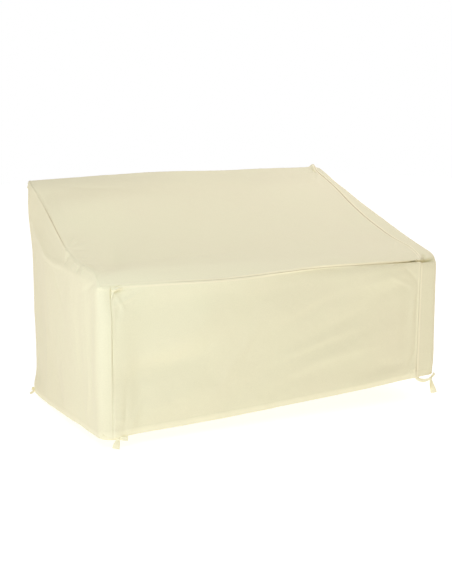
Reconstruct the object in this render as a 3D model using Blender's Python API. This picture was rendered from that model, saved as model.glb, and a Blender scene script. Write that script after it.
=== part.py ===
"""A fitted cover for an outdoor two-seat sofa, standing open as it hangs, with a tie at each lower corner.

Five panels of coated cloth are sewn edge to edge: a front, a slope from the front edge up to the ridge, a
back and two sides. The side panels turn round the front corners, so the front's two seams lie a little
inboard, and on the right the side panel comes over the shoulder too. Every panel is a grid of points on the
cloth's outer face. Panels that meet at a seam read the same points there, and each one then gets its
thickness inward and draws back a little from its seams.

Sizes are in metres, from the floor up and from the middle of the sofa's width and depth, +X to the right
and +Y to the back. When a mesh is made it is shifted, so that the origin is SUPPORT, the point on the inner
face of the ridge where the cover rests on what it covers.
"""

import bpy
import numpy as np

SUPPORT = np.array((0.0, 0.404, 0.9082))

CLOTH = 0.0022  # thickness of the coated cloth
SEAM_GAP = 0.0003  # how far each panel draws back from a seam
HEM_DEPTH = 0.028  # the hem is turned up once
HEM_STEP = 0.0009  # and stands proud by this

FRONT_Y = -0.458
RIDGE_Y = 0.408
BACK_Y = 0.430  # of the back panel at the hem
RIDGE_DROP = 0.034  # how far down the back the slope panel reaches
RIDGE_LEAN = 0.006  # and how far behind the ridge it ends there
RIDGE_REACH = 0.028  # rounding of the ridge, along each of its two faces
CORNER_REACH = 0.035  # rounding of the upright corners
FOLD_REACH = 0.030  # rounding of the fold over the left arm
SHOULDER_REACH = 0.050  # rounding of the right shoulder

# The front panel's lower edge and top seam: place across, height.
FRONT_HEM = ((-0.72, 0.034), (-0.61, 0.033), (-0.39, 0.035), (-0.17, 0.042), (0.07, 0.054),
             (0.39, 0.070), (0.60, 0.085), (0.72, 0.092))
FRONT_TOP = ((-0.70, 0.560), (-0.45, 0.556), (-0.24, 0.551), (0.00, 0.557), (0.12, 0.561),
             (0.30, 0.561), (0.52, 0.556), (0.64, 0.556))
# The ridge before its rounding: place across, height.
RIDGE = ((-0.67, 0.900), (-0.485, 0.907), (-0.10, 0.921), (0.185, 0.915), (0.41, 0.917), (0.67, 0.915))
BACK_HEM = ((-0.71, 0.006), (-0.30, 0.014), (0.20, 0.024), (0.71, 0.046))

# The left side, from the front seam (0) over the corner to the back seam (1).
# Each row: place along, outward bulge, rise. The hem, then the soft fold over the arm, then the slope seam.
LEFT_HEM = ((0.0, 0.0, 0.0), (0.15, 0.000, -0.004), (0.35, 0.004, -0.002), (0.60, 0.003, -0.006),
            (0.88, 0.000, -0.008), (1.0, 0.0, 0.0))
LEFT_FOLD = ((0.0, 0.0, 0.0), (0.10, 0.003, 0.006), (0.20, 0.012, 0.006), (0.40, 0.020, -0.014),
             (0.60, 0.020, -0.030), (0.80, 0.011, -0.026), (1.0, 0.0, 0.0))
LEFT_SEAM = ((0.0, 0.0, 0.0), (0.05, -0.002, 0.016), (0.13, -0.002, 0.006), (0.23, 0.004, -0.020),
             (0.36, 0.012, -0.033), (0.47, 0.015, -0.034), (0.68, 0.012, -0.022), (0.83, 0.008, -0.016),
             (0.93, 0.003, -0.004), (1.0, 0.0, 0.0))
RIGHT_HEM = ((0.0, 0.0, 0.0), (0.5, 0.006, -0.004), (1.0, 0.0, 0.0))
SHOULDER = ((0.0, 0.0, 0.0), (0.12, 0.0, -0.008), (0.30, 0.002, -0.014), (0.45, 0.002, -0.008),
            (0.60, 0.002, -0.005), (0.80, 0.002, 0.002), (0.93, 0.006, 0.012), (1.0, 0.0, 0.0))
RIGHT_SEAM = ((0.0, 0.0, 0.0), (0.05, 0.008, 0.004), (0.11, 0.009, 0.004), (0.21, -0.013, 0.000),
              (0.32, -0.023, -0.003), (0.44, -0.028, -0.004), (0.60, -0.021, -0.006), (0.74, -0.008, -0.008),
              (0.87, -0.006, -0.008), (0.94, -0.009, -0.006), (1.0, 0.0, 0.0))

# Corners of the upright sides in plan: the front seam, the front corner, the back corner, the back seam.
# Each is (across, depth, height), at the hem and at the fold or shoulder.
LEFT = {
    "hem": ((-0.668, FRONT_Y, 0.034), (-0.712, FRONT_Y, 0.033),
            (-0.702, BACK_Y, 0.006), (-0.670, BACK_Y, 0.006)),
    "fold": ((-0.655, FRONT_Y, 0.515), (-0.697, FRONT_Y, 0.536),
             (-0.690, 0.416, 0.720), (-0.662, 0.417, 0.720)),
}
RIGHT = {
    "hem": ((0.616, FRONT_Y, 0.087), (0.714, FRONT_Y, 0.092),
            (0.702, BACK_Y, 0.046), (0.670, BACK_Y, 0.046)),
    "shoulder": ((0.634, FRONT_Y, 0.530), (0.724, FRONT_Y, 0.583),
                 (0.694, 0.412, 0.900), (0.668, 0.417, 0.825)),
}
STRIP_SHARE = 0.058  # the share of a left line's length that lies on the front
# The slope panel's corners: at the front seam and at the ridge.
SLOPE_LEFT = ((-0.692, FRONT_Y + 0.004, 0.560), (-0.674, RIDGE_Y, 0.898))
SLOPE_RIGHT = ((0.640, FRONT_Y, 0.556), (0.668, RIDGE_Y, 0.915))
FRONT_SEAM_TOP = (-0.652, FRONT_Y, 0.559)  # where the front's left seam meets the slope panel
# How the rear left corner leans as the cloth is drawn in: height, shift across. Then its plan and reach.
CORNER_LEAN = ((0.0, 0.0), (0.035, 0.0), (0.09, 0.012), (0.20, 0.015), (0.35, 0.013), (0.50, 0.013),
               (0.62, 0.011), (0.70, 0.004), (0.78, -0.006), (0.85, -0.010), (0.885, -0.010), (0.92, 0.0))
LEAN_AT = (-0.690, 0.430)
LEAN_SPREAD = (0.100, 0.160)

# The ear at the right end of the ridge, where three seams meet: place, rise, spread.
EAR_AT = (0.664, 0.412, 0.905)
EAR_RISE = 0.017
EAR_SPREAD = 0.022

# Soft folds of a panel. Each row: across, up, half length, half width, turn in degrees, height outward.
FRONT_FOLDS = ((-0.33, 0.36, 0.22, 0.100, 30, 0.010), (-0.10, 0.50, 0.26, 0.035, 10, 0.004),
               (0.12, 0.38, 0.30, 0.090, 26, -0.009), (0.44, 0.490, 0.16, 0.026, 8, 0.006),
               (0.30, 0.30, 0.26, 0.040, 20, -0.005), (0.22, 0.225, 0.22, 0.030, 14, 0.005),
               (0.50, 0.145, 0.14, 0.030, 6, -0.006), (-0.58, 0.16, 0.20, 0.050, 88, -0.007),
               (0.58, 0.34, 0.16, 0.030, 84, -0.006))
LEFT_FOLDS = ((-0.20, 0.42, 0.20, 0.080, 80, 0.006), (0.26, 0.36, 0.22, 0.060, 86, -0.007),
              (0.05, 0.20, 0.18, 0.060, 70, -0.006), (-0.10, 0.10, 0.12, 0.080, 95, 0.005))
RIGHT_FOLDS = ((-0.20, 0.40, 0.20, 0.080, 95, -0.006), (0.16, 0.36, 0.24, 0.070, 84, 0.007),
               (0.02, 0.16, 0.16, 0.060, 100, -0.005))
BACK_FOLDS = ((-0.36, 0.50, 0.30, 0.100, 84, 0.007), (0.02, 0.55, 0.30, 0.120, 96, -0.008),
              (0.38, 0.48, 0.30, 0.100, 90, 0.006))
SLOPE_FOLDS = ((-0.58, 0.22, 0.22, 0.055, 72, -0.013), (-0.40, 0.80, 0.30, 0.060, 0, 0.014),
               (0.00, 0.42, 0.60, 0.220, 0, -0.012), (0.25, 0.84, 0.26, 0.045, 0, 0.006),
               (0.52, 0.45, 0.30, 0.060, 88, -0.005))
# The front panel is drawn in below its top seam, more to the right: place across, depth.
DRAWN_IN = ((-0.66, 0.0), (-0.20, 0.002), (0.10, 0.007), (0.40, 0.014), (0.58, 0.015), (0.64, 0.0))
DRAWN_HEIGHT = 0.030
NOSE_RISE = 0.007  # the slope panel rolls over the front edge
NOSE_WIDTH = 0.045
# Shares of a panel over which its folds fade out toward its seams.
SEAM_FADE = 0.10
SLOPE_SIDE_FADE = 0.06
SLOPE_FRONT_FADE = 0.15
SLOPE_RIDGE_FADE = 0.10
NOSE_FADE = 0.03

# A tie at each lower corner: its tapes are knotted, and two free ends leave the knot.
TAPE_THICK = 0.0016
TAPE_STEPS = 8
KNOT_RINGS = 7
KNOT_SIDES = 12
KNOT_END = 68  # degrees from the knot's middle to its flat ends
# The knot: middle and half sizes. Then each tape's rows: across, depth, height, width, turn in degrees.
FRONT_LEFT_KNOT = ((-0.6490, -0.4680, 0.0295), (0.0100, 0.0066, 0.0085))
FRONT_LEFT_TAPES = (
    ((-0.7025, -0.4575, 0.0405, 0.018, 0), (-0.6855, -0.4638, 0.0365, 0.016, 0),
     (-0.6680, -0.4660, 0.0325, 0.013, 0), (-0.6520, -0.4680, 0.0300, 0.009, 0)),
    ((-0.6310, -0.4606, 0.0450, 0.016, 0), (-0.6400, -0.4630, 0.0380, 0.013, 0),
     (-0.6470, -0.4672, 0.0315, 0.009, 0)),
    ((-0.6500, -0.4690, 0.0270, 0.012, 0), (-0.6530, -0.4720, 0.0180, 0.019, 8),
     (-0.6575, -0.4735, 0.0080, 0.024, 14), (-0.6605, -0.4730, -0.0035, 0.026, 12)),
    ((-0.6460, -0.4695, 0.0295, 0.010, 0), (-0.6370, -0.4735, 0.0292, 0.013, -10),
     (-0.6260, -0.4755, 0.0285, 0.016, -16), (-0.6160, -0.4750, 0.0275, 0.018, -14)),
)
FRONT_RIGHT_KNOT = ((0.6796, -0.4682, 0.0775), (0.0076, 0.0066, 0.0080))
FRONT_RIGHT_TAPES = (
    ((0.6080, -0.4535, 0.1020, 0.014, 0), (0.6180, -0.4535, 0.0910, 0.014, 0),
     (0.6310, -0.4545, 0.0782, 0.0135, 0), (0.6500, -0.4582, 0.0712, 0.0145, 0),
     (0.6660, -0.4640, 0.0735, 0.011, 0), (0.6780, -0.4680, 0.0770, 0.008, 0)),
    ((0.7100, -0.4535, 0.0925, 0.013, 0), (0.6995, -0.4597, 0.0880, 0.012, 0),
     (0.6880, -0.4640, 0.0830, 0.010, 0), (0.6815, -0.4678, 0.0790, 0.008, 0)),
    ((0.6812, -0.4690, 0.0740, 0.009, 10), (0.6835, -0.4705, 0.0560, 0.016, 26),
     (0.6890, -0.4720, 0.0370, 0.022, 36), (0.6940, -0.4725, 0.0195, 0.025, 38)),
    ((0.6780, -0.4695, 0.0740, 0.008, -40), (0.6750, -0.4725, 0.0620, 0.011, -52),
     (0.6750, -0.4740, 0.0410, 0.013, -54)),
)
BACK_KNOT = ((-0.6840, 0.4405, 0.0120), (0.0090, 0.0066, 0.0080))
BACK_TAPES = (
    ((-0.7050, 0.4235, 0.0220, 0.016, 0), (-0.6970, 0.4345, 0.0180, 0.013, 0),
     (-0.6865, 0.4405, 0.0135, 0.009, 0)),
    ((-0.6600, 0.4330, 0.0280, 0.017, 0), (-0.6700, 0.4350, 0.0205, 0.014, 0),
     (-0.6815, 0.4395, 0.0135, 0.009, 0)),
    ((-0.6860, 0.4420, 0.0105, 0.009, 20), (-0.6950, 0.4450, 0.0035, 0.012, 60),
     (-0.7030, 0.4460, -0.0020, 0.014, 70), (-0.7095, 0.4460, -0.0045, 0.014, 74)),
    ((-0.6820, 0.4420, 0.0100, 0.009, 0), (-0.6775, 0.4440, 0.0020, 0.016, 0),
     (-0.6750, 0.4450, -0.0055, 0.020, 0)),
)
BACK_RIGHT_LIFT = 0.040  # the right rear corner hangs higher by this

CREAM = (0.872, 0.823, 0.575)
SHARP_EDGE = 35  # degrees


def unit(v):
    """Vectors of length one."""
    return v / np.maximum(np.linalg.norm(v, axis=-1, keepdims=True), 1e-9)


def through(table, at):
    """A smooth curve through a table's rows: cubic pieces, with the mean slope of its two sides at a row."""
    rows = np.array(table, float)
    place = rows[:, 0]
    value = rows[:, 1:]
    secant = np.diff(value, axis=0) / np.diff(place)[:, None]
    slope = np.vstack([secant[:1], (secant[1:] + secant[:-1]) / 2, secant[-1:]])
    at = np.clip(at, place[0], place[-1])
    k = np.clip(np.searchsorted(place, at, side="right") - 1, 0, len(place) - 2)
    span = (place[k + 1] - place[k])[:, None]
    t = (at - place[k])[:, None] / span
    start = (1 + 2 * t) * (1 - t) ** 2 * value[k] + t * (1 - t) ** 2 * span * slope[k]
    return start + t * t * (3 - 2 * t) * value[k + 1] + t * t * (t - 1) * span * slope[k + 1]


ROOM_ALONE = 0.70  # the most of a straight leg that one rounding takes
ROOM_SHARED = 0.48  # and that each of two takes


def soft_path(corners, reaches, legs, turn):
    """Points from corner to corner, straight between them and rounded at the inner ones.

    A rounding starts its reach before the corner and ends as far after it, along the curve
    (1-t)(1-t)a + 2t(1-t)corner + t*t*b. A reach of zero leaves a plain point there.
    """
    corners = [np.asarray(c, float) for c in corners]
    points = [corners[0]]
    start = corners[0]
    for i, reach in enumerate(reaches, 1):
        before = corners[i - 1] - corners[i]
        after = corners[i + 1] - corners[i]
        before_share = ROOM_ALONE if i == 1 or reaches[i - 2] == 0 else ROOM_SHARED
        after_share = ROOM_ALONE if i == len(reaches) or reaches[i] == 0 else ROOM_SHARED
        room = np.minimum(np.linalg.norm(before, axis=-1) * before_share,
                          np.linalg.norm(after, axis=-1) * after_share)
        reach = np.minimum(reach, room)[..., None]
        a = corners[i] + unit(before) * reach
        b = corners[i] + unit(after) * reach
        points += [start + (a - start) * k / legs[i - 1] for k in range(1, legs[i - 1] + 1)]
        if np.max(reach) > 0:
            for t in np.arange(1, turn + 1) / turn:
                points.append((1 - t) ** 2 * a + 2 * t * (1 - t) * corners[i] + t * t * b)
        start = b
    points += [start + (corners[-1] - start) * k / legs[-1] for k in range(1, legs[-1] + 1)]
    return np.stack(points)


def spaced(line, shares):
    """A line's points at the given shares of its length."""
    along = np.concatenate([[0], np.cumsum(np.linalg.norm(np.diff(line, axis=0), axis=1))])
    return np.stack([np.interp(np.asarray(shares) * along[-1], along, line[:, k]) for k in range(3)], axis=1)


def rail(corners, table, reach, shares, way):
    """A line round a side panel: its rounded plan, moved outward (way) and up by its table."""
    line = spaced(soft_path(corners, (reach, reach), (40, 40, 40), 40), shares)
    moved = through(table, shares)
    line[:, 0] += way * moved[:, 0]
    line[:, 2] += moved[:, 1]
    return line


def slope_seam(ends, table, shares, way):
    """A side seam of the slope panel, from the front edge up to the ridge and over it."""
    front, top = np.array(ends)
    behind = top + (0.0, RIDGE_LEAN, -RIDGE_DROP)
    line = spaced(soft_path((front, top, behind), (RIDGE_REACH,), (60, 8), 20), shares)
    up = np.clip((line[:, 1] - front[1]) / (top[1] - front[1]), 0, 1)
    moved = through(table, up)
    line[:, 0] += way * moved[:, 0]
    line[:, 2] += moved[:, 1]
    return line


def coons(left, right, bottom, top):
    """The surface between four edges: the mean of both ways across, less the corners counted twice."""
    s = np.linspace(0, 1, len(bottom))[None, :, None]
    t = np.linspace(0, 1, len(left))[:, None, None]
    across = (1 - s) * left[:, None] + s * right[:, None]
    up = (1 - t) * bottom[None] + t * top[None]
    twice = (1 - t) * ((1 - s) * left[0] + s * right[0]) + t * ((1 - s) * left[-1] + s * right[-1])
    return across + up - twice


def soft_folds(table, across, up):
    """The sum of soft ridges and troughs, each height * exp(-(along/length)^2 - (off/width)^2)."""
    total = np.zeros_like(across)
    for a, b, length, width, turn, height in table:
        angle = np.radians(turn)
        along = (across - a) * np.cos(angle) + (up - b) * np.sin(angle)
        off = (up - b) * np.cos(angle) - (across - a) * np.sin(angle)
        total += height * np.exp(-((along / length) ** 2) - (off / width) ** 2)
    return total


def grid_shares(shape):
    """How far up and how far across each point of a grid lies, from 0 to 1."""
    return np.linspace(0, 1, shape[0])[:, None], np.linspace(0, 1, shape[1])[None, :]


def inside(shape):
    """A grid of shares that are 0 on the panel's seams and 1 a little inside; the hem row stays free."""
    t, s = grid_shares(shape)
    fade = np.clip(np.minimum(s, 1 - s) / SEAM_FADE, 0, 1) * np.clip((1 - t) / SEAM_FADE, 0, 1)
    return fade * fade * (3 - 2 * fade)


def grid_normals(grid):
    """The normals at a grid's points, from the two directions along the grid."""
    return unit(np.cross(np.gradient(grid, axis=1), np.gradient(grid, axis=0)))


ROWS_UP = (1, 6, 2)  # spans of an upright column: the hem, up to the fold or shoulder, and past it
ROWS_TURN = 5
ACROSS = 26
WRAP = 4
SLOPE_SHARES = np.concatenate([np.linspace(0, 0.09, 6)[:-1], np.linspace(0.09, 0.93, 15)[:-1],
                               np.linspace(0.93, 1, 7)])


def side_panel(plan, bend, tables, top, reach, shares, way):
    """A side panel's grid: upright columns from the hem over the fold or shoulder to the top seam."""
    hem = rail(plan["hem"], tables[0], CORNER_REACH, shares, way)
    bent = rail(plan[bend], tables[1], CORNER_REACH, shares, way)
    hem_top = hem + unit(bent - hem) * HEM_DEPTH
    return soft_path((hem, hem_top, bent, top), (0.0, reach), ROWS_UP, ROWS_TURN)


def front_top_line(x):
    """Points of the front panel's top seam."""
    height = through(FRONT_TOP, x)[:, 0]
    return np.stack([x, np.full_like(x, FRONT_Y), height], axis=1)


def make_panels():
    """The five panels' grids of outer points, rows upward and columns to the right as seen from outside."""
    left_seam = slope_seam(SLOPE_LEFT, LEFT_SEAM, SLOPE_SHARES, -1)
    right_seam = slope_seam(SLOPE_RIGHT, RIGHT_SEAM, SLOPE_SHARES, 1)

    # The left side starts with a strip on the front, whose top is sewn to the slope panel's front edge.
    shares = np.concatenate([np.linspace(0, STRIP_SHARE, WRAP + 1),
                             STRIP_SHARE + (1 - STRIP_SHARE) * SLOPE_SHARES[1:]])
    strip = np.linspace(FRONT_SEAM_TOP[0], SLOPE_LEFT[0][0], WRAP + 1)
    strip_top = front_top_line(strip)
    strip_top[:, 1:] += np.linspace(0, 1, WRAP + 1)[:, None] * (left_seam[0, 1:] - strip_top[-1, 1:])
    left_top = np.concatenate([strip_top, left_seam[1:]])
    left = side_panel(LEFT, "fold", (LEFT_HEM, LEFT_FOLD), left_top, FOLD_REACH, shares, -1)
    right = side_panel(RIGHT, "shoulder", (RIGHT_HEM, SHOULDER), right_seam, SHOULDER_REACH, SLOPE_SHARES, 1)

    # The front.
    x_hem = np.linspace(left[0, 0, 0], right[0, 0, 0], ACROSS + 1)
    x_top = np.linspace(strip_top[0, 0], right_seam[0, 0], ACROSS + 1)
    front_hem = np.stack([x_hem, np.full_like(x_hem, FRONT_Y), through(FRONT_HEM, x_hem)[:, 0]], axis=1)
    front_hem[[0, -1]] = left[0, 0], right[0, 0]
    front_top = front_top_line(x_top)
    front_top[[0, -1]] = left[-1, 0], right[-1, 0]
    front = coons(left[:, 0], right[:, 0], front_hem, front_top)

    # The slope panel goes over the ridge and a little way down the back.
    bottom = np.concatenate([strip_top[::-1], front_top[1:]])
    place = np.linspace(left_seam[-1, 0], right_seam[-1, 0], len(bottom))
    top = np.linspace(left_seam[-1], right_seam[-1], len(bottom))
    rise = through(RIDGE, place)[:, 0]
    top[:, 2] += rise - np.linspace(rise[0], rise[-1], len(bottom))
    slope = coons(left_seam, right_seam, bottom, top)

    # The back.
    back_hem = np.linspace(left[0, -1], right[0, -1], len(top))
    back_hem[:, 2] = through(BACK_HEM, back_hem[:, 0])[:, 0]
    back_hem[[0, -1]] = left[0, -1], right[0, -1]
    back = coons(left[:, -1], right[:, -1], back_hem, top)

    return {"front_panel": front, "slope_panel": slope, "back_panel": back[:, ::-1],
            "side_panel_left": left[:, ::-1], "side_panel_right": right}


def add_folds(panels):
    """Moves each panel's points along its normals by its soft folds, with nothing on its seams."""
    for name, table, across in (("front_panel", FRONT_FOLDS, 0), ("back_panel", BACK_FOLDS, 0),
                                ("side_panel_left", LEFT_FOLDS, 1), ("side_panel_right", RIGHT_FOLDS, 1)):
        grid = panels[name]
        out = soft_folds(table, grid[..., across], grid[..., 2])
        if name == "front_panel":
            below = through(FRONT_TOP, grid[..., 0].ravel()).reshape(out.shape) - grid[..., 2]
            depth = through(DRAWN_IN, grid[..., 0].ravel()).reshape(out.shape)
            out -= depth * np.exp(-(((below - DRAWN_HEIGHT) / DRAWN_HEIGHT) ** 2))
        grid += grid_normals(grid) * (out * inside(out.shape))[..., None]

    grid = panels["slope_panel"]
    up = np.clip((grid[..., 1] - FRONT_Y) / (RIDGE_Y - FRONT_Y), 0, 1)
    out = soft_folds(SLOPE_FOLDS, grid[..., 0], up)
    out *= np.clip(up / SLOPE_FRONT_FADE, 0, 1) * np.clip((1 - up) / SLOPE_RIDGE_FADE, 0, 1)
    out += NOSE_RISE * np.exp(-(((grid[..., 1] - FRONT_Y) / NOSE_WIDTH - 1) ** 2))
    t, s = grid_shares(out.shape)
    out *= np.clip(t / NOSE_FADE, 0, 1) * np.clip(np.minimum(s, 1 - s) / SLOPE_SIDE_FADE, 0, 1)
    grid += grid_normals(grid) * out[..., None]


def lean_corner(panels):
    """Shifts the points near the rear left corner across, by a curve of their height, alike on every panel."""
    for grid in panels.values():
        shift = through(CORNER_LEAN, grid[..., 2].ravel()).reshape(grid.shape[:2])
        off = np.linalg.norm((grid[..., :2] - LEAN_AT) / LEAN_SPREAD, axis=-1)
        grid[..., 0] += shift * np.exp(-off * off)


def add_ear(panels):
    """Lifts the points near the right end of the ridge into a small peak, the same on every panel there."""
    for grid in panels.values():
        away = np.linalg.norm(grid - EAR_AT, axis=-1)
        grid[..., 2] += EAR_RISE * np.exp(-((away / EAR_SPREAD) ** 2))


LEAST_LEANING = 0.6  # the cosine that limits how long an offset gets at a sharp seam


def joined_normals(panels):
    """Each panel's point normals, where points that panels share have the same one, and how much longer the
    offset is there, so that the cloth keeps its thickness across a sharp seam."""
    points = []
    sums = []
    for grid in panels.values():
        a = grid[:-1, 1:] - grid[:-1, :-1]
        b = grid[1:, :-1] - grid[:-1, :-1]
        c = grid[1:, 1:] - grid[:-1, 1:]
        d = grid[1:, 1:] - grid[1:, :-1]
        face = unit(np.cross(a + d, b + c))
        total = np.zeros(grid.shape)
        for rows in (slice(None, -1), slice(1, None)):
            for columns in (slice(None, -1), slice(1, None)):
                total[rows, columns] += face
        points.append(grid.reshape(-1, 3))
        sums.append(unit(total).reshape(-1, 3))
    keys = np.round(np.concatenate(points) * 1e6).astype(np.int64)
    first, index = np.unique(keys, axis=0, return_inverse=True)
    index = index.ravel()
    sums = np.concatenate(sums)
    shared = np.zeros((len(first), 3))
    np.add.at(shared, index, sums)
    normal = unit(shared)[index]
    leaning = np.bincount(index, (normal * sums).sum(axis=1)) / np.bincount(index)
    longer = 1 / np.clip(leaning, LEAST_LEANING, 1)[index]
    out = {}
    start = 0
    for name, grid in panels.items():
        stop = start + grid.shape[0] * grid.shape[1]
        out[name] = (normal[start:stop] * longer[start:stop, None]).reshape(grid.shape)
        start = stop
    return out


def draw_back(grid):
    """Pulls a grid's four edges back along the cloth by the seam gap."""
    for axis in (0, 1):
        lines = np.swapaxes(grid, 0, axis)
        for edge, near in ((0, 1), (-1, -2)):
            lines[edge] += unit(lines[near] - lines[edge]) * SEAM_GAP


def add(name, points, faces):
    """Adds a mesh object, shifted so that the origin is at SUPPORT."""
    mesh = bpy.data.meshes.new(name)
    mesh.from_pydata((np.asarray(points) - SUPPORT).tolist(), [], faces)
    mesh.validate()
    piece = bpy.data.objects.new(name, mesh)
    bpy.context.scene.collection.objects.link(piece)
    return piece


def clothe(piece):
    """Smooths a node's mesh and gives it its own cloth material."""
    piece.data.shade_smooth()
    piece.data.set_sharp_from_angle(angle=np.radians(SHARP_EDGE))
    cloth = bpy.data.materials.new(piece.name + "_cloth")
    cloth.use_nodes = True
    shader = cloth.node_tree.nodes["Principled BSDF"]
    shader.inputs["Base Color"].default_value = (*CREAM, 1.0)
    shader.inputs["Roughness"].default_value = 0.75
    shader.inputs["Metallic"].default_value = 0.0
    piece.data.materials.append(cloth)


def slab(name, outer, inner):
    """A closed solid between two grids of the same shape."""
    rows, columns = outer.shape[:2]
    at = np.arange(rows * columns).reshape(rows, columns)
    skin = np.stack([at[:-1, :-1], at[:-1, 1:], at[1:, 1:], at[1:, :-1]], axis=-1).reshape(-1, 4)
    rim = np.concatenate([at[0, :-1], at[:-1, -1], at[-1, :0:-1], at[:0:-1, 0]])
    step = np.roll(rim, -1)
    lining = rows * columns
    edge = np.stack([rim, rim + lining, step + lining, step], axis=-1)
    faces = np.concatenate([skin, skin[:, ::-1] + lining, edge])
    clothe(add(name, np.concatenate([outer.reshape(-1, 3), inner.reshape(-1, 3)]), faces.tolist()))


def tube(sections):
    """A closed solid through rings of points that run round the way from the first ring to the last."""
    rings, sides = sections.shape[:2]
    at = np.arange(rings * sides).reshape(rings, sides)
    step = np.roll(at, -1, axis=1)
    walls = np.stack([at[:-1], step[:-1], step[1:], at[1:]], axis=-1).reshape(-1, 4)
    return sections.reshape(-1, 3), walls.tolist() + [at[0, ::-1].tolist(), at[-1].tolist()]


def tape(rows, out):
    """A strip of tape through its rows. Its width lies across the path and across the way out of the cloth,
    turned about the path by the row's angle."""
    rows = np.array(rows)
    place = np.arange(len(rows))
    line = through(np.column_stack([place, rows]), np.linspace(0, place[-1], TAPE_STEPS + 1))
    along = unit(np.gradient(line[:, :3], axis=0))
    level = unit(np.cross(along, out))
    turn = np.radians(line[:, 4:])
    wide = (level * np.cos(turn) + np.cross(along, level) * np.sin(turn)) * line[:, 3:4] / 2
    thick = np.cross(along, unit(wide)) * TAPE_THICK / 2
    corners = [-wide - thick, wide - thick, wide + thick, thick - wide]
    return tube(np.stack([line[:, :3] + corner for corner in corners], axis=1))


def knot(middle, half_sizes):
    """A rounded lump with its axis across."""
    up = np.radians(np.linspace(-KNOT_END, KNOT_END, KNOT_RINGS))[:, None]
    turn = np.radians(np.arange(KNOT_SIDES) * 360 / KNOT_SIDES)[None, :]
    ball = np.stack([np.sin(up) + 0 * turn, np.cos(up) * np.cos(turn), np.cos(up) * np.sin(turn)], axis=-1)
    return tube(ball * half_sizes + middle)


def tie(name, lump, tapes, out, mirror=1, lift=0.0):
    """A tie as one solid: its knot and tapes joined, mirrored and lifted where a table serves both sides."""
    shift = (0, 0, lift)
    way = (mirror, 1, 1)
    pieces = []
    for points, faces in [knot(*lump)] + [tape(rows, out) for rows in tapes]:
        faces = [face[::mirror] for face in faces]
        pieces.append(add(name, points * way + shift, faces))
    whole = pieces[0]
    whole.name = name
    for piece in pieces[1:]:
        join = whole.modifiers.new("join", "BOOLEAN")
        join.operation = "UNION"
        join.solver = "EXACT"
        join.object = piece
    joined = bpy.data.meshes.new_from_object(whole.evaluated_get(bpy.context.evaluated_depsgraph_get()))
    whole.modifiers.clear()
    whole.data = joined
    for piece in pieces[1:]:
        bpy.data.objects.remove(piece)
    clothe(whole)


def main():
    for old in list(bpy.data.objects):
        bpy.data.objects.remove(old)
    panels = {name: grid.copy() for name, grid in make_panels().items()}
    add_folds(panels)
    lean_corner(panels)
    add_ear(panels)
    normals = joined_normals(panels)
    for name, grid in panels.items():
        outer = grid.copy()
        inner = grid - normals[name] * CLOTH
        if name != "slope_panel":
            outer[:2] += normals[name][:2] * HEM_STEP
        draw_back(outer)
        draw_back(inner)
        slab(name, outer, inner)
    tie("tie_front_left", FRONT_LEFT_KNOT, FRONT_LEFT_TAPES, (0, -1, 0))
    tie("tie_front_right", FRONT_RIGHT_KNOT, FRONT_RIGHT_TAPES, (0, -1, 0))
    tie("tie_back_left", BACK_KNOT, BACK_TAPES, (0, 1, 0))
    tie("tie_back_right", BACK_KNOT, BACK_TAPES, (0, 1, 0), mirror=-1, lift=BACK_RIGHT_LIFT)


main()
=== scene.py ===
# %% [markdown]
# # A fitted cover for an outdoor sofa
#
# The real object is five panels of coated cloth, sewn edge to edge and pulled down over a sofa, with a
# knotted tie at each lower corner. It hangs in the shape of what is under it, so the panels are almost flat,
# with soft hollows, tight places at the corners and small puckers along the seams.
#
# Such a cover could be simulated, but a simulation gives folds in places of its own choosing. Here the folds
# have to lie where they lie on the real one. So each panel is worked out with numpy as a surface between its
# four edges, and every fold, pucker and seam is a short formula that moves its points along their normals.

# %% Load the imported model
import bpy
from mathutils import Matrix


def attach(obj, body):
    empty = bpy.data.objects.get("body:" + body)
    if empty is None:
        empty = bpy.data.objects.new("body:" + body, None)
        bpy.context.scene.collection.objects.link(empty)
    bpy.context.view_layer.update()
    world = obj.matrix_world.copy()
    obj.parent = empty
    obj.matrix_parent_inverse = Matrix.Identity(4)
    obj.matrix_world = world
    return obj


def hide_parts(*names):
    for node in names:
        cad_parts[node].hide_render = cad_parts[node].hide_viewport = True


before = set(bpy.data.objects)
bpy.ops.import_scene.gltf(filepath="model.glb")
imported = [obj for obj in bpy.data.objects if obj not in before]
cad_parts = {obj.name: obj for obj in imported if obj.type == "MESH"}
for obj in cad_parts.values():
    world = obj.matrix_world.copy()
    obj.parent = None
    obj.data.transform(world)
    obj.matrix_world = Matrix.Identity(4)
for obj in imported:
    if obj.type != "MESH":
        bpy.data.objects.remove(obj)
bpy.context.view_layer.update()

import bpy
import numpy as np
from mathutils import Matrix

# %% [markdown]
# ## The camera
#
# A view is a place to stand, a point to look at, a lens and a slight lean of the camera. The camera's matrix
# holds its own three directions: to its right, upwards, and backwards, away from what it looks at. Written
# from two angles it is exact, where a Track To constraint couldn't lean. Heights are measured from the floor
# in this script, and SUPPORT, the point on the ridge's inner face, is taken off when a mesh is made, because
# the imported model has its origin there.

# %% Camera
SUPPORT = np.array((0.0, 0.404, 0.9082))

AZIMUTH = np.radians(-26.0)
ELEVATION = np.radians(8.6)
LEAN = np.radians(1.13)
DISTANCE = 4.12
LOOK_AT = np.array((0.004, 0.0, 0.426))
LENS_MM = 62.26


def camera_directions(azimuth, elevation, lean):
    """Right, up and back of a camera. Back is (sin a cos e, -cos a cos e, sin e), right is level, and up is
    back cross right; then right and up are turned about back by the lean."""
    back = np.array((np.sin(azimuth) * np.cos(elevation),
                     -np.cos(azimuth) * np.cos(elevation), np.sin(elevation)))
    right = np.array((np.cos(azimuth), np.sin(azimuth), 0.0))
    up = np.cross(back, right)
    return right * np.cos(lean) - up * np.sin(lean), right * np.sin(lean) + up * np.cos(lean), back


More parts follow.
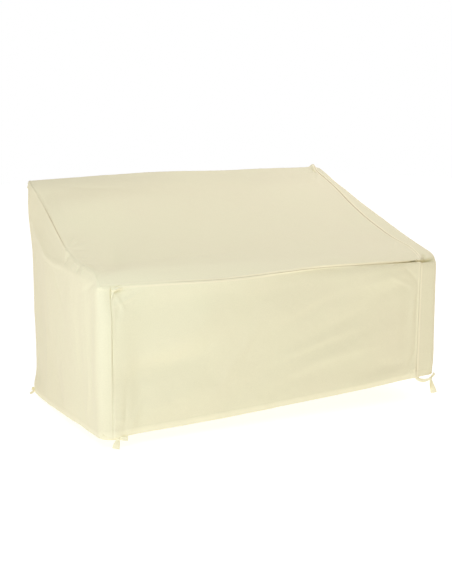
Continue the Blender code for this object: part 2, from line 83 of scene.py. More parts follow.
def standing(right, up, back, place):
    """The matrix of what stands at a place: right, up and back are its first three columns, then the place."""
    directions = np.stack([right, up, back], axis=1)
    return Matrix([[*row, at] for row, at in zip(directions, place)] + [[0, 0, 0, 1]])


right, up, back = camera_directions(AZIMUTH, ELEVATION, LEAN)
stand = LOOK_AT + back * DISTANCE - SUPPORT
camera = bpy.data.objects.new("camera", bpy.data.cameras.new("camera"))
camera.data.lens = LENS_MM
camera.data.sensor_fit = "AUTO"
camera.matrix_world = standing(right, up, back, stand)
bpy.context.scene.collection.objects.link(camera)
bpy.context.scene.camera = camera
print("the camera stands at", np.round(stand, 3).tolist())

# %% [markdown]
# ## Lines through measured points
#
# A sewn edge is never straight. Each one is given by a few measured points, and a smooth curve goes through
# them. Cubic pieces do this without the overshoot that a single high-order curve would have, and an edge that
# turns a corner is rounded by a short parabola there. These are the same formulas that made the solids, so
# the cloth lies within some millimetres of them.

# %% Smooth curves and rounded paths
def unit(v):
    """Vectors of length one: each divided by its own length."""
    return v / np.maximum(np.linalg.norm(v, axis=-1, keepdims=True), 1e-9)


def through(table, at):
    """A smooth curve through a table's rows: cubic pieces, with the mean slope of its two sides at a row."""
    rows = np.array(table, float)
    place, value = rows[:, 0], rows[:, 1:]
    secant = np.diff(value, axis=0) / np.diff(place)[:, None]
    slope = np.vstack([secant[:1], (secant[1:] + secant[:-1]) / 2, secant[-1:]])
    at = np.clip(at, place[0], place[-1])
    k = np.clip(np.searchsorted(place, at, side="right") - 1, 0, len(place) - 2)
    span = (place[k + 1] - place[k])[:, None]
    t = (at - place[k])[:, None] / span
    start = (1 + 2 * t) * (1 - t) ** 2 * value[k] + t * (1 - t) ** 2 * span * slope[k]
    return start + t * t * (3 - 2 * t) * value[k + 1] + t * t * (t - 1) * span * slope[k + 1]


def curve_of(table, grid):
    """The single value of a table's smooth curve at every point of a grid of places."""
    return through(table, grid.ravel())[:, 0].reshape(grid.shape)


ROOM_ALONE = 0.70  # the most of a straight leg that one rounding takes
ROOM_SHARED = 0.48  # and that each of two takes


def soft_path(corners, reaches, legs, turn):
    """Points from corner to corner, straight between them and rounded at the inner ones.

    A rounding starts its reach before the corner and ends as far after it, along the curve
    (1-t)(1-t)a + 2t(1-t)corner + t*t*b. A reach of zero leaves a plain point there. Each leg and the turn
    are given as the shares at which points are wanted.
    """
    corners = [np.asarray(c, float) for c in corners]
    points = [corners[0][None]]
    start = corners[0]
    for i, reach in enumerate(reaches, 1):
        before = corners[i - 1] - corners[i]
        after = corners[i + 1] - corners[i]
        before_share = ROOM_ALONE if i == 1 or reaches[i - 2] == 0 else ROOM_SHARED
        after_share = ROOM_ALONE if i == len(reaches) or reaches[i] == 0 else ROOM_SHARED
        room = np.minimum(np.linalg.norm(before, axis=-1) * before_share,
                          np.linalg.norm(after, axis=-1) * after_share)
        reach = np.minimum(reach, room)[..., None]
        a = corners[i] + unit(before) * reach
        b = corners[i] + unit(after) * reach
        lift = (slice(None),) + (None,) * a.ndim
        points.append(start + (a - start) * legs[i - 1][lift])
        if np.max(reach) > 0:
            t = turn[lift]
            points.append((1 - t) ** 2 * a + 2 * t * (1 - t) * corners[i] + t * t * b)
        start = b
    lift = (slice(None),) + (None,) * start.ndim
    points.append(start + (corners[-1] - start) * legs[-1][lift])
    return np.concatenate(points)


def even(count):
    """Shares of a leg at even steps, the first one left out."""
    return np.arange(1, count + 1) / count


def spaced(line, shares):
    """A line's points at the given shares of its length."""
    along = np.concatenate([[0], np.cumsum(np.linalg.norm(np.diff(line, axis=0), axis=1))])
    return np.stack([np.interp(np.asarray(shares) * along[-1], along, line[:, k]) for k in range(3)], axis=1)


# %% [markdown]
# ## Where the points of a panel lie
#
# A seam has its relief within a few millimetres, while the middle of a panel is smooth. An even grid would
# waste its points, so the lines of each grid crowd together at the seams and stand about 5 mm apart between.

# %% Shares that crowd at the seams
CLOSE = np.array((0.0, 0.0013, 0.0027, 0.0042, 0.006, 0.0082, 0.011, 0.0145))  # from a seam inwards


def crowded(length, step):
    """Shares of a length from 0 to 1 with the CLOSE places at both ends and even steps between them."""
    count = int(round((length - 2 * CLOSE[-1]) / step))
    middle = np.linspace(CLOSE[-1], length - CLOSE[-1], count + 1)[1:-1]
    return np.concatenate([CLOSE, middle, length - CLOSE[::-1]]) / length


HEM_DEPTH = 0.028  # the hem is turned up once
STRIP_SHARE = 0.058  # the share of a left line's length that lies on the front
LEFT_STRIP = 0.040  # the width of that strip
SIDE_SEAM = 1.02  # length of a side seam, from the front edge over the ridge
FRONT_WIDTH = 1.292  # between the front's two upright seams
# Share of a side seam's length, and the share of the slope panel's grid that lies there.
RIDGE_SHARES = ((0.0, 0.0), (0.09, 0.2), (0.93, 0.76), (1.0, 1.0))
UP = crowded(SIDE_SEAM, 0.0062)
ACROSS = crowded(FRONT_WIDTH, 0.0053)
STRIP = np.concatenate([CLOSE, [0.018, 0.0215, 0.025, 0.0285, 0.032, 0.036, 0.040]]) / LEFT_STRIP
HEM_LEG = np.array((0.04, 0.1, 0.2, 0.35, 0.5, 0.65, 0.8, 0.9, 0.955, 0.975, 1.0))
TALL_LEG = even(98)
TOP_CLOSE = (0, 0.012, 0.026, 0.042, 0.062, 0.088, 0.12)  # from the top seam down
TOP_LEG = np.sort(1 - np.concatenate([TOP_CLOSE, np.linspace(0.155, 0.96, 20)]))
TURN = even(24)
# An upright grid has 14 parts: 1 for the hem, 6 up to the fold or shoulder, 5 round it and 2 above it.
GRID_UP = np.concatenate([[0], HEM_LEG, 1 + 6 * TALL_LEG, 7 + 5 * TURN, 12 + 2 * TOP_LEG]) / 14
GRID_ALONG = np.interp(UP, *zip(*RIDGE_SHARES))
STRIP_PARTS = 4


def with_strip(strip, rest, parts):
    """Shares across a strip, which takes up the first 4 parts of a width, and then across the rest of it."""
    return np.concatenate([strip * STRIP_PARTS, STRIP_PARTS + (parts - STRIP_PARTS) * rest[1:]]) / parts


OVER = with_strip(1 - STRIP[::-1], ACROSS, 30)  # across the slope and the back
ROUND_LEFT = with_strip(STRIP, GRID_ALONG, 29)  # round the left side
print("rows and columns: front", len(GRID_UP), "x", len(ACROSS), "slope", len(UP), "x", len(OVER))

# %% [markdown]
# ## The edges of the cloth
#
# These are the cover's own sizes: where the hem hangs, where the ridge runs, and how each seam wanders from a
# straight line. They are the sizes of the solids, but a few lines are set some millimetres fuller or lower
# here, as the finished cloth has them.

# %% Sizes of the cover
FRONT_Y = -0.458
RIDGE_Y = 0.408
BACK_Y = 0.430  # of the back panel at the hem
RIDGE_DROP = 0.034  # how far down the back the slope panel reaches
RIDGE_LEAN = 0.006  # and how far behind the ridge it ends there
RIDGE_REACH = 0.028  # rounding of the ridge, along each of its two faces
CORNER_REACH = 0.035  # rounding of the upright corners
FOLD_REACH = 0.030  # rounding of the fold over the left arm
SHOULDER_REACH = 0.050  # rounding of the right shoulder

# The front panel's lower edge and top seam: place across, height.
FRONT_HEM = ((-0.72, 0.034), (-0.61, 0.033), (-0.39, 0.035), (-0.17, 0.042), (0.07, 0.054),
             (0.39, 0.070), (0.60, 0.085), (0.72, 0.092))
FRONT_TOP = ((-0.70, 0.560), (-0.45, 0.556), (-0.24, 0.551), (0.00, 0.556), (0.12, 0.559),
             (0.30, 0.558), (0.52, 0.554), (0.64, 0.556))
# The ridge before its rounding: place across, height.
RIDGE = ((-0.67, 0.900), (-0.485, 0.907), (-0.10, 0.921), (0.185, 0.915), (0.41, 0.917), (0.67, 0.915))
BACK_HEM = ((-0.71, 0.006), (-0.30, 0.014), (0.20, 0.024), (0.71, 0.046))

# The left side, from the front seam (0) over the corner to the back seam (1).
# Each row: place along, outward bulge, rise. The hem, then the soft fold over the arm, then the slope seam.
LEFT_HEM = ((0.0, 0.0, 0.0), (0.15, 0.000, -0.004), (0.35, 0.004, -0.002), (0.60, 0.003, -0.006),
            (0.88, 0.000, -0.008), (1.0, 0.0, 0.0))
LEFT_FOLD = ((0.0, 0.0, 0.0), (0.10, 0.003, 0.008), (0.20, 0.012, 0.010), (0.40, 0.021, -0.006),
             (0.60, 0.022, -0.018), (0.80, 0.012, -0.016), (1.0, 0.0, 0.0))
LEFT_SEAM = ((0.0, 0.0, 0.0), (0.05, -0.002, 0.016), (0.13, -0.002, 0.006), (0.23, 0.004, -0.020),
             (0.36, 0.011, -0.033), (0.47, 0.010, -0.034), (0.68, 0.006, -0.022), (0.83, 0.002, -0.016),
             (0.93, 0.001, -0.004), (1.0, 0.0, 0.0))
RIGHT_HEM = ((0.0, 0.0, 0.0), (0.5, 0.006, -0.004), (1.0, 0.0, 0.0))
SHOULDER = ((0.0, 0.0, 0.0), (0.12, 0.0, -0.006), (0.30, 0.002, -0.006), (0.45, 0.002, -0.002),
            (0.60, 0.002, 0.003), (0.80, 0.002, 0.009), (0.93, 0.006, 0.018), (1.0, 0.0, 0.0))
RIGHT_SEAM = ((0.0, 0.0, 0.0), (0.05, 0.008, 0.004), (0.11, 0.009, 0.004), (0.21, -0.013, 0.000),
              (0.32, -0.023, -0.003), (0.44, -0.028, -0.004), (0.60, -0.021, -0.006), (0.74, -0.008, -0.008),
              (0.87, -0.006, -0.008), (0.94, -0.009, -0.006), (1.0, 0.0, 0.0))

# Corners of the upright sides in plan: the front seam, the front corner, the back corner, the back seam.
# Each is (across, depth, height), at the hem and at the fold or shoulder.
LEFT = {
    "hem": ((-0.668, FRONT_Y, 0.034), (-0.712, FRONT_Y, 0.033),
            (-0.702, BACK_Y, 0.006), (-0.670, BACK_Y, 0.006)),
    "fold": ((-0.655, FRONT_Y, 0.515), (-0.697, FRONT_Y, 0.536),
             (-0.690, 0.416, 0.720), (-0.662, 0.417, 0.720)),
}
RIGHT = {
    "hem": ((0.616, FRONT_Y, 0.087), (0.714, FRONT_Y, 0.092),
            (0.702, BACK_Y, 0.046), (0.670, BACK_Y, 0.046)),
    "shoulder": ((0.634, FRONT_Y, 0.530), (0.724, FRONT_Y, 0.583),
                 (0.694, 0.412, 0.900), (0.668, 0.417, 0.825)),
}
# The slope panel's corners: at the front seam and at the ridge.
SLOPE_LEFT = ((-0.692, FRONT_Y + 0.004, 0.560), (-0.674, RIDGE_Y, 0.898))
SLOPE_RIGHT = ((0.640, FRONT_Y, 0.556), (0.668, RIDGE_Y, 0.915))
FRONT_SEAM_TOP = (-0.652, FRONT_Y, 0.559)  # where the front's left seam meets the slope panel
# How the rear left corner leans as the cloth is drawn in: height, shift across. Then its plan and reach.
CORNER_LEAN = ((0.0, 0.0), (0.035, 0.0), (0.09, 0.012), (0.20, 0.015), (0.35, 0.013), (0.50, 0.013),
               (0.62, 0.011), (0.70, 0.004), (0.78, -0.006), (0.85, -0.010), (0.885, -0.010), (0.92, 0.0))
LEAN_AT = (-0.690, 0.430)
LEAN_SPREAD = (0.100, 0.160)
print("width over the hem:", round(RIGHT["hem"][1][0] - LEFT["hem"][1][0], 3))

# %% [markdown]
# ## A surface between four edges
#
# A panel is known along its seams, and the cloth between them is pulled taut. The simplest surface through
# four given edges is the sum of the straight lines across and the straight lines up, less the surface of the
# four corners alone, which that counts twice. It has no bumps of its own, so it is a good start for stretched
# cloth. The sides turn a corner and fold over the arm, so they are rounded paths instead, one for each column.

# %% The five panels, plain
FINE = even(40)  # fine enough for a line that is then spaced by its length
SEAM_LEGS = (even(60), even(8))
SEAM_TURN = even(20)


def rail(corners, table, shares, way):
    """A line round a side panel: its rounded plan, moved outward (way) and up by its table's curve."""
    line = spaced(soft_path(corners, (CORNER_REACH, CORNER_REACH), (FINE, FINE, FINE), FINE), shares)
    moved = through(table, shares)
    line[:, 0] += way * moved[:, 0]
    line[:, 2] += moved[:, 1]
    return line


def slope_seam(ends, table, shares, way):
    """A side seam of the slope panel: straight up to the rounded ridge and over it, moved by its table."""
    front, top = np.array(ends)
    behind = top + (0.0, RIDGE_LEAN, -RIDGE_DROP)
    line = spaced(soft_path((front, top, behind), (RIDGE_REACH,), SEAM_LEGS, SEAM_TURN), shares)
    rise = np.clip((line[:, 1] - front[1]) / (top[1] - front[1]), 0, 1)
    moved = through(table, rise)
    line[:, 0] += way * moved[:, 0]
    line[:, 2] += moved[:, 1]
    return line


def between(left, right, bottom, top, across, upward):
    """The surface between four edges: the lines across plus the lines up, less the corners' own surface."""
    s = across[None, :, None]
    t = upward[:, None, None]
    twice = (1 - t) * ((1 - s) * left[0] + s * right[0]) + t * ((1 - s) * left[-1] + s * right[-1])
    return (1 - s) * left[:, None] + s * right[:, None] + (1 - t) * bottom[None] + t * top[None] - twice


def side_panel(plan, bend, tables, top, reach, shares, way):
    """A side panel's grid: upright columns from the hem over the fold or shoulder to the top seam."""
    hem = rail(plan["hem"], tables[0], shares, way)
    bent = rail(plan[bend], tables[1], shares, way)
    hem_top = hem + unit(bent - hem) * HEM_DEPTH
    return soft_path((hem, hem_top, bent, top), (0.0, reach), (HEM_LEG, TALL_LEG, TOP_LEG), TURN)


def front_top_line(x):
    """Points of the front panel's top seam: its height is a smooth curve of the place across."""
    return np.stack([x, np.full_like(x, FRONT_Y), through(FRONT_TOP, x)[:, 0]], axis=1)


def make_panels():
    """The five panels' grids of outer points, rows upward and columns to the right as seen from outside."""
    left_seam = slope_seam(SLOPE_LEFT, LEFT_SEAM, UP, -1)
    right_seam = slope_seam(SLOPE_RIGHT, RIGHT_SEAM, UP, 1)

    # The left side starts with a strip on the front, whose top is sewn to the slope panel's front edge.
    shares = np.concatenate([STRIP * STRIP_SHARE, STRIP_SHARE + (1 - STRIP_SHARE) * UP[1:]])
    strip_top = front_top_line(FRONT_SEAM_TOP[0] + (SLOPE_LEFT[0][0] - FRONT_SEAM_TOP[0]) * STRIP)
    strip_top[:, 1:] += STRIP[:, None] * (left_seam[0, 1:] - strip_top[-1, 1:])
    left_top = np.concatenate([strip_top, left_seam[1:]])
    left = side_panel(LEFT, "fold", (LEFT_HEM, LEFT_FOLD), left_top, FOLD_REACH, shares, -1)
    right = side_panel(RIGHT, "shoulder", (RIGHT_HEM, SHOULDER), right_seam, SHOULDER_REACH, UP, 1)

    x_hem = left[0, 0, 0] + (right[0, 0, 0] - left[0, 0, 0]) * ACROSS
    x_top = strip_top[0, 0] + (right_seam[0, 0] - strip_top[0, 0]) * ACROSS
    front_hem = np.stack([x_hem, np.full_like(x_hem, FRONT_Y), through(FRONT_HEM, x_hem)[:, 0]], axis=1)
    front_hem[[0, -1]] = left[0, 0], right[0, 0]
    front_top = front_top_line(x_top)
    front_top[[0, -1]] = left[-1, 0], right[-1, 0]
    front = between(left[:, 0], right[:, 0], front_hem, front_top, ACROSS, GRID_UP)

    # The slope panel goes over the ridge and a little way down the back.
    bottom = np.concatenate([strip_top[::-1], front_top[1:]])
    top = left_seam[-1] + (right_seam[-1] - left_seam[-1]) * OVER[:, None]
    rise = through(RIDGE, top[:, 0])[:, 0]
    top[:, 2] += rise - rise[0] - (rise[-1] - rise[0]) * OVER
    slope = between(left_seam, right_seam, bottom, top, OVER, GRID_ALONG)

    back_hem = left[0, -1] + (right[0, -1] - left[0, -1]) * OVER[:, None]
    back_hem[:, 2] = through(BACK_HEM, back_hem[:, 0])[:, 0]
    back_hem[[0, -1]] = left[0, -1], right[0, -1]
    back = between(left[:, -1], right[:, -1], back_hem, top, OVER, GRID_UP)

    return {"front_cloth": front, "slope_cloth": slope, "back_cloth": back[:, ::-1],
            "side_cloth_left": left[:, ::-1], "side_cloth_right": right}


panels = {name: grid.copy() for name, grid in make_panels().items()}
for name, grid in panels.items():
    print(name, grid.shape[:2], "spans", np.round(np.ptp(grid.reshape(-1, 3), axis=0), 3).tolist())

# %% [markdown]
# ## Broad folds
#
# Cloth over a soft seat has wide shallow hollows and swellings a hand or more across. Each is one row of a
# table: where its middle is, how long and how wide it is, which way it runs and how far it stands out. The
# bell curve exp(-x*x) dies away on its own, so folds can be added up without seams between them.

# %% Broad folds
FRONT_FOLDS = ((-0.33, 0.36, 0.22, 0.100, 30, 0.010), (-0.10, 0.50, 0.26, 0.035, 10, 0.004),
               (0.12, 0.38, 0.30, 0.090, 26, -0.009), (0.44, 0.490, 0.16, 0.026, 8, 0.006),
               (0.30, 0.30, 0.26, 0.040, 20, -0.005), (0.22, 0.225, 0.22, 0.030, 14, 0.005),
               (0.50, 0.145, 0.14, 0.030, 6, -0.006), (-0.58, 0.16, 0.20, 0.050, 88, -0.007),
               (0.58, 0.34, 0.16, 0.030, 84, -0.006))
LEFT_FOLDS = ((-0.20, 0.42, 0.20, 0.080, 80, 0.006), (0.26, 0.36, 0.22, 0.060, 86, -0.007),
              (0.05, 0.20, 0.18, 0.060, 70, -0.006), (-0.10, 0.10, 0.12, 0.080, 95, 0.005))
RIGHT_FOLDS = ((-0.20, 0.40, 0.20, 0.080, 95, -0.006), (0.16, 0.36, 0.24, 0.070, 84, 0.007),
               (0.02, 0.16, 0.16, 0.060, 100, -0.005))
BACK_FOLDS = ((-0.36, 0.50, 0.30, 0.100, 84, 0.007), (0.02, 0.55, 0.30, 0.120, 96, -0.008),
              (0.38, 0.48, 0.30, 0.100, 90, 0.006))
SLOPE_FOLDS = ((-0.58, 0.22, 0.22, 0.055, 72, -0.013), (-0.45, 0.74, 0.34, 0.130, 0, 0.022),
               (0.00, 0.42, 0.60, 0.220, 0, -0.012), (0.40, 0.78, 0.28, 0.110, 0, 0.013),
               (0.52, 0.45, 0.30, 0.060, 88, -0.001))
# The front panel is drawn in below its top seam, more to the right: place across, depth.
DRAWN_IN = ((-0.66, 0.0), (-0.20, 0.000), (0.10, 0.001), (0.40, 0.001), (0.58, 0.001), (0.64, 0.0))
DRAWN_HEIGHT = 0.020
NOSE_RISE = 0.002  # the slope panel rolls over the front edge
NOSE_WIDTH = 0.045
SEAM_FADE = 0.10
SLOPE_SIDE_FADE = 0.06
SLOPE_FRONT_FADE = 0.15
SLOPE_RIDGE_FADE = 0.06
NOSE_FADE = 0.03
EAR_AT = (0.667, 0.412, 0.905)  # the small peak at the right end of the ridge
EAR_RISE = 0.017
EAR_SPREAD = 0.022


def soft_folds(table, across, upward):
    """The sum of soft ridges and troughs, each height * exp(-(along/length)^2 - (off/width)^2)."""
    total = np.zeros_like(across)
    for a, b, length, width, turn, height in table:
        angle = np.radians(turn)
        along = (across - a) * np.cos(angle) + (upward - b) * np.sin(angle)
        off = (upward - b) * np.cos(angle) - (across - a) * np.sin(angle)
        total += height * np.exp(-((along / length) ** 2) - (off / width) ** 2)
    return total


def grid_normals(grid):
    """Normals of a grid: the mean of the four faces round each point, each the cross of its two sides."""
    a = grid[:-1, 1:] - grid[:-1, :-1]
    b = grid[1:, :-1] - grid[:-1, :-1]
    c = grid[1:, 1:] - grid[:-1, 1:]
    d = grid[1:, 1:] - grid[1:, :-1]
    face = unit(np.cross(a + d, b + c))
    total = np.zeros(grid.shape)
    for rows in (slice(None, -1), slice(1, None)):
        for columns in (slice(None, -1), slice(1, None)):
            total[rows, columns] += face
    return unit(total)


def smooth_step(x):
    """From 0 to 1 with level ends: x*x*(3 - 2x), with x kept between 0 and 1."""
    x = np.clip(x, 0, 1)
    return x * x * (3 - 2 * x)


# How far up and across the points of each upright panel lie, as shares of its grid.
SHARES = {"front_cloth": (GRID_UP, ACROSS), "back_cloth": (GRID_UP, 1 - OVER[::-1]),
          "side_cloth_left": (GRID_UP, 1 - ROUND_LEFT[::-1]), "side_cloth_right": (GRID_UP, GRID_ALONG)}
# A panel's tables, and the axis that runs across it: X on the front and back, Y on the sides.
FOLDS = {"front_cloth": (FRONT_FOLDS, 0), "back_cloth": (BACK_FOLDS, 0),
         "side_cloth_left": (LEFT_FOLDS, 1), "side_cloth_right": (RIGHT_FOLDS, 1)}

for name, (table, axis) in FOLDS.items():
    grid = panels[name]
    t, s = SHARES[name][0][:, None], SHARES[name][1][None, :]
    out = soft_folds(table, grid[..., axis], grid[..., 2])
    if name == "front_cloth":
        below = curve_of(FRONT_TOP, grid[..., 0]) - grid[..., 2]
        out -= curve_of(DRAWN_IN, grid[..., 0]) * np.exp(-(((below - DRAWN_HEIGHT) / DRAWN_HEIGHT) ** 2))
    out *= smooth_step(np.clip(np.minimum(s, 1 - s) / SEAM_FADE, 0, 1) * np.clip((1 - t) / SEAM_FADE, 0, 1))
    grid += grid_normals(grid) * out[..., None]

grid = panels["slope_cloth"]
t, s = GRID_ALONG[:, None], OVER[None, :]
rise = np.clip((grid[..., 1] - FRONT_Y) / (RIDGE_Y - FRONT_Y), 0, 1)
out = soft_folds(SLOPE_FOLDS, grid[..., 0], rise)
out *= np.clip(rise / SLOPE_FRONT_FADE, 0, 1) * np.clip((1 - rise) / SLOPE_RIDGE_FADE, 0, 1)
out += NOSE_RISE * np.exp(-(((grid[..., 1] - FRONT_Y) / NOSE_WIDTH - 1) ** 2))
out *= np.clip(t / NOSE_FADE, 0, 1) * np.clip(np.minimum(s, 1 - s) / SLOPE_SIDE_FADE, 0, 1)
grid += grid_normals(grid) * out[..., None]

for grid in panels.values():
    off = np.linalg.norm((grid[..., :2] - LEAN_AT) / LEAN_SPREAD, axis=-1)
    grid[..., 0] += curve_of(CORNER_LEAN, grid[..., 2]) * np.exp(-off * off)
    away = np.linalg.norm(grid - EAR_AT, axis=-1)
    grid[..., 2] += EAR_RISE * np.exp(-((away / EAR_SPREAD) ** 2))
print("broad folds done; the ridge's highest point is", round(float(panels["slope_cloth"][..., 2].max()), 4))

# %% [markdown]
# ## Uneven lines and surfaces
#
# Hand-sewn cloth is uneven, and evenly repeated puckers look printed. Value noise gives the unevenness: a row
# of random numbers, one at every whole step, joined by smooth steps. Its seed is fixed, so the cloth is the
# same each time.

# %% Value noise along a line and over a surface
LINE_VALUES = 4096  # random values before a line's noise repeats
NET_VALUES = 256  # and along each side of a surface's net


def line_noise(at, step, seed):
    """Noise along a line, from -1 to 1: seeded random values a step apart, joined by smooth steps."""
    values = np.random.default_rng(seed).uniform(-1, 1, LINE_VALUES)
    k = np.floor(at / step).astype(int)
    share = smooth_step(at / step - k)
    return values[k % LINE_VALUES] * (1 - share) + values[(k + 1) % LINE_VALUES] * share


def cloth_noise(across, upward, step, seed):
    """Noise over a surface, from -1 to 1: seeded random values on a square net, joined by smooth steps."""
    values = np.random.default_rng(seed).uniform(-1, 1, (NET_VALUES, NET_VALUES))
    i, j = np.floor(across / step).astype(int), np.floor(upward / step).astype(int)
    u, v = smooth_step(across / step - i), smooth_step(upward / step - j)
    left, right = i % NET_VALUES, (i + 1) % NET_VALUES
    below, above = j % NET_VALUES, (j + 1) % NET_VALUES
    low = values[below, left] * (1 - u) + values[below, right] * u
    high = values[above, left] * (1 - u) + values[above, right] * u
    return low * (1 - v) + high * v


# %% [markdown]
# ## Creases
#
# Where the cloth is drawn towards a corner or a stitch it gathers into narrow creases a finger wide. They are
# the same bell curves, only slimmer, and the places they are measured from are first shifted a little by
# noise, so that none of them runs dead straight.

# %% Creases of each panel
# Each row: across, up, half length, half width, turn in degrees, height outward.
FRONT_CREASES = (
    (-0.36, 0.400, 0.220, 0.070, 25, 0.0080), (-0.25, 0.545, 0.260, 0.045, 3, 0.0060),
    (0.06, 0.515, 0.300, 0.075, 4, -0.0130), (0.06, 0.390, 0.280, 0.080, 22, 0.0060),
    (-0.46, 0.268, 0.170, 0.050, 12, -0.0140), (-0.42, 0.130, 0.190, 0.045, 12, 0.0080),
    (-0.19, 0.250, 0.120, 0.022, 52, 0.0035), (-0.10, 0.180, 0.160, 0.030, 40, -0.0030),
    (-0.600, 0.520, 0.060, 0.009, 24, 0.0030), (-0.625, 0.505, 0.030, 0.006, 118, 0.0024),
    (-0.632, 0.460, 0.070, 0.010, 84, -0.0022), (-0.615, 0.110, 0.080, 0.011, 82, -0.0036),
    (-0.575, 0.090, 0.070, 0.012, 66, 0.0024), (-0.02, 0.455, 0.110, 0.016, 16, 0.0014),
    (0.14, 0.400, 0.200, 0.020, 20, -0.0034), (0.30, 0.365, 0.200, 0.022, 20, -0.0050),
    (0.622, 0.320, 0.220, 0.022, 89, -0.0060), (0.44, 0.545, 0.160, 0.050, 5, 0.0090),
    (0.42, 0.430, 0.140, 0.014, 14, -0.0012), (0.50, 0.340, 0.130, 0.034, 18, 0.0010),
    (0.05, 0.260, 0.160, 0.022, 14, 0.0030), (0.24, 0.300, 0.160, 0.018, 16, 0.0034),
    (0.32, 0.225, 0.160, 0.022, 10, 0.0020), (0.44, 0.110, 0.190, 0.035, 5, 0.0060),
    (0.10, 0.150, 0.160, 0.024, 10, -0.0026), (0.545, 0.480, 0.060, 0.010, -30, 0.0020),
    (0.590, 0.500, 0.050, 0.008, -52, -0.0022), (0.600, 0.400, 0.080, 0.010, 80, 0.0020),
    (0.585, 0.160, 0.070, 0.010, 70, -0.0030), (0.598, 0.125, 0.030, 0.005, 40, 0.0020),
    (-0.640, 0.140, 0.020, 0.004, 10, 0.0020), (-0.640, 0.098, 0.022, 0.004, -12, 0.0022),
)
SLOPE_CREASES = (
    (0.640, 0.376, 0.022, 0.0055, 88, -0.0110), (0.626, 0.372, 0.020, 0.006, 80, 0.0040),
    (0.615, 0.365, 0.050, 0.007, -20, 0.0026), (0.610, 0.352, 0.060, 0.008, 14, -0.0024),
    (0.632, 0.325, 0.050, 0.006, 50, 0.0022), (0.560, 0.370, 0.070, 0.012, -4, -0.0018),
    (-0.660, -0.100, 0.040, 0.007, 10, 0.0026), (-0.655, -0.125, 0.035, 0.006, -24, -0.0024),
    (-0.650, -0.070, 0.050, 0.008, 34, -0.0020), (-0.600, -0.250, 0.120, 0.018, 66, 0.0024),
    (-0.640, -0.360, 0.060, 0.010, 52, -0.0024), (-0.560, -0.200, 0.140, 0.022, 60, -0.0020),
    (-0.48, 0.30, 0.160, 0.020, -16, -0.0020), (-0.30, 0.33, 0.140, 0.018, -8, 0.0016),
    (0.10, 0.05, 0.260, 0.030, 10, 0.0016), (0.34, -0.18, 0.220, 0.026, 18, -0.0016),
    (0.560, -0.380, 0.060, 0.010, 40, -0.0022), (0.590, -0.350, 0.060, 0.010, 52, 0.0018),
    (-0.20, -0.30, 0.220, 0.026, 6, 0.0016), (-0.660, -0.060, 0.030, 0.006, 60, 0.0040),
    (-0.672, -0.200, 0.018, 0.005, 20, 0.0030), (-0.672, -0.250, 0.018, 0.005, 10, -0.0030),
    (-0.672, -0.300, 0.018, 0.005, 24, 0.0030), (-0.655, -0.400, 0.050, 0.008, 30, -0.0030),
    (-0.35, -0.415, 0.300, 0.030, 0, -0.0050),
)
LEFT_CREASES = (
    (-0.10, 0.602, 0.220, 0.014, 5, 0.0040), (0.14, 0.643, 0.120, 0.014, 20, 0.0040),
    (0.27, 0.682, 0.080, 0.016, 34, 0.0030), (-0.43, 0.330, 0.200, 0.130, 90, 0.0050),
    (0.12, 0.690, 0.170, 0.034, 22, -0.0040),
    (-0.09, 0.630, 0.110, 0.016, 16, -0.0015), (-0.375, 0.33, 0.220, 0.024, 88, -0.0050),
    (-0.120, 0.652, 0.020, 0.006, 62, 0.0060), (-0.150, 0.640, 0.018, 0.005, 70, -0.0040),
    (-0.215, 0.612, 0.016, 0.005, 70, 0.0040), (-0.255, 0.606, 0.016, 0.005, 76, -0.0040),
    (-0.300, 0.600, 0.016, 0.005, 80, 0.0040),
    (0.33, 0.52, 0.180, 0.020, 86, -0.0026), (0.10, 0.42, 0.160, 0.024, 78, 0.0026),
    (-0.05, 0.52, 0.090, 0.014, 50, -0.0026), (-0.10, 0.63, 0.040, 0.007, 70, 0.0024),
    (-0.14, 0.62, 0.040, 0.007, 100, -0.0022), (-0.28, 0.30, 0.160, 0.020, 84, -0.0026),
    (-0.34, 0.16, 0.120, 0.016, 100, 0.0024), (0.18, 0.14, 0.100, 0.018, 96, 0.0024),
    (0.36, 0.16, 0.100, 0.014, 70, -0.0026), (-0.02, 0.08, 0.070, 0.012, 60, -0.0022),
    (-0.40, 0.42, 0.100, 0.012, 84, -0.0024), (-0.38, 0.555, 0.070, 0.010, -24, -0.0022),
)
RIGHT_CREASES = (
    (-0.36, 0.50, 0.100, 0.014, 70, -0.0030), (-0.30, 0.46, 0.140, 0.016, 96, 0.0028),
    (-0.08, 0.44, 0.160, 0.020, 88, -0.0030), (0.22, 0.52, 0.180, 0.020, 80, 0.0026),
    (0.30, 0.20, 0.120, 0.018, 100, -0.0026), (-0.20, 0.16, 0.110, 0.016, 74, 0.0026),
    (0.06, 0.66, 0.090, 0.014, 30, -0.0024),
)
BACK_CREASES = (
    (-0.50, 0.60, 0.200, 0.024, 74, 0.0026), (-0.20, 0.66, 0.180, 0.020, 100, -0.0028),
    (0.16, 0.60, 0.220, 0.024, 82, 0.0026), (0.48, 0.62, 0.200, 0.022, 108, -0.0026),
    (0.56, 0.20, 0.140, 0.016, 66, 0.0022), (-0.56, 0.18, 0.140, 0.016, 112, -0.0022),
)
CREASES = {"front_cloth": (FRONT_CREASES, 0, 2), "slope_cloth": (SLOPE_CREASES, 0, 1),
           "back_cloth": (BACK_CREASES, 0, 2), "side_cloth_left": (LEFT_CREASES, 1, 2),
           "side_cloth_right": (RIGHT_CREASES, 1, 2)}
WANDER_STEP = 0.11
WANDER = 0.012
UNEVEN = ((0.0007, 0.060, 30), (0.0003, 0.022, 40))  # the cloth's own unevenness: height, step, first seed
NET_CORNER = 3  # the net's corner lies this many metres outside, so that no place is below zero


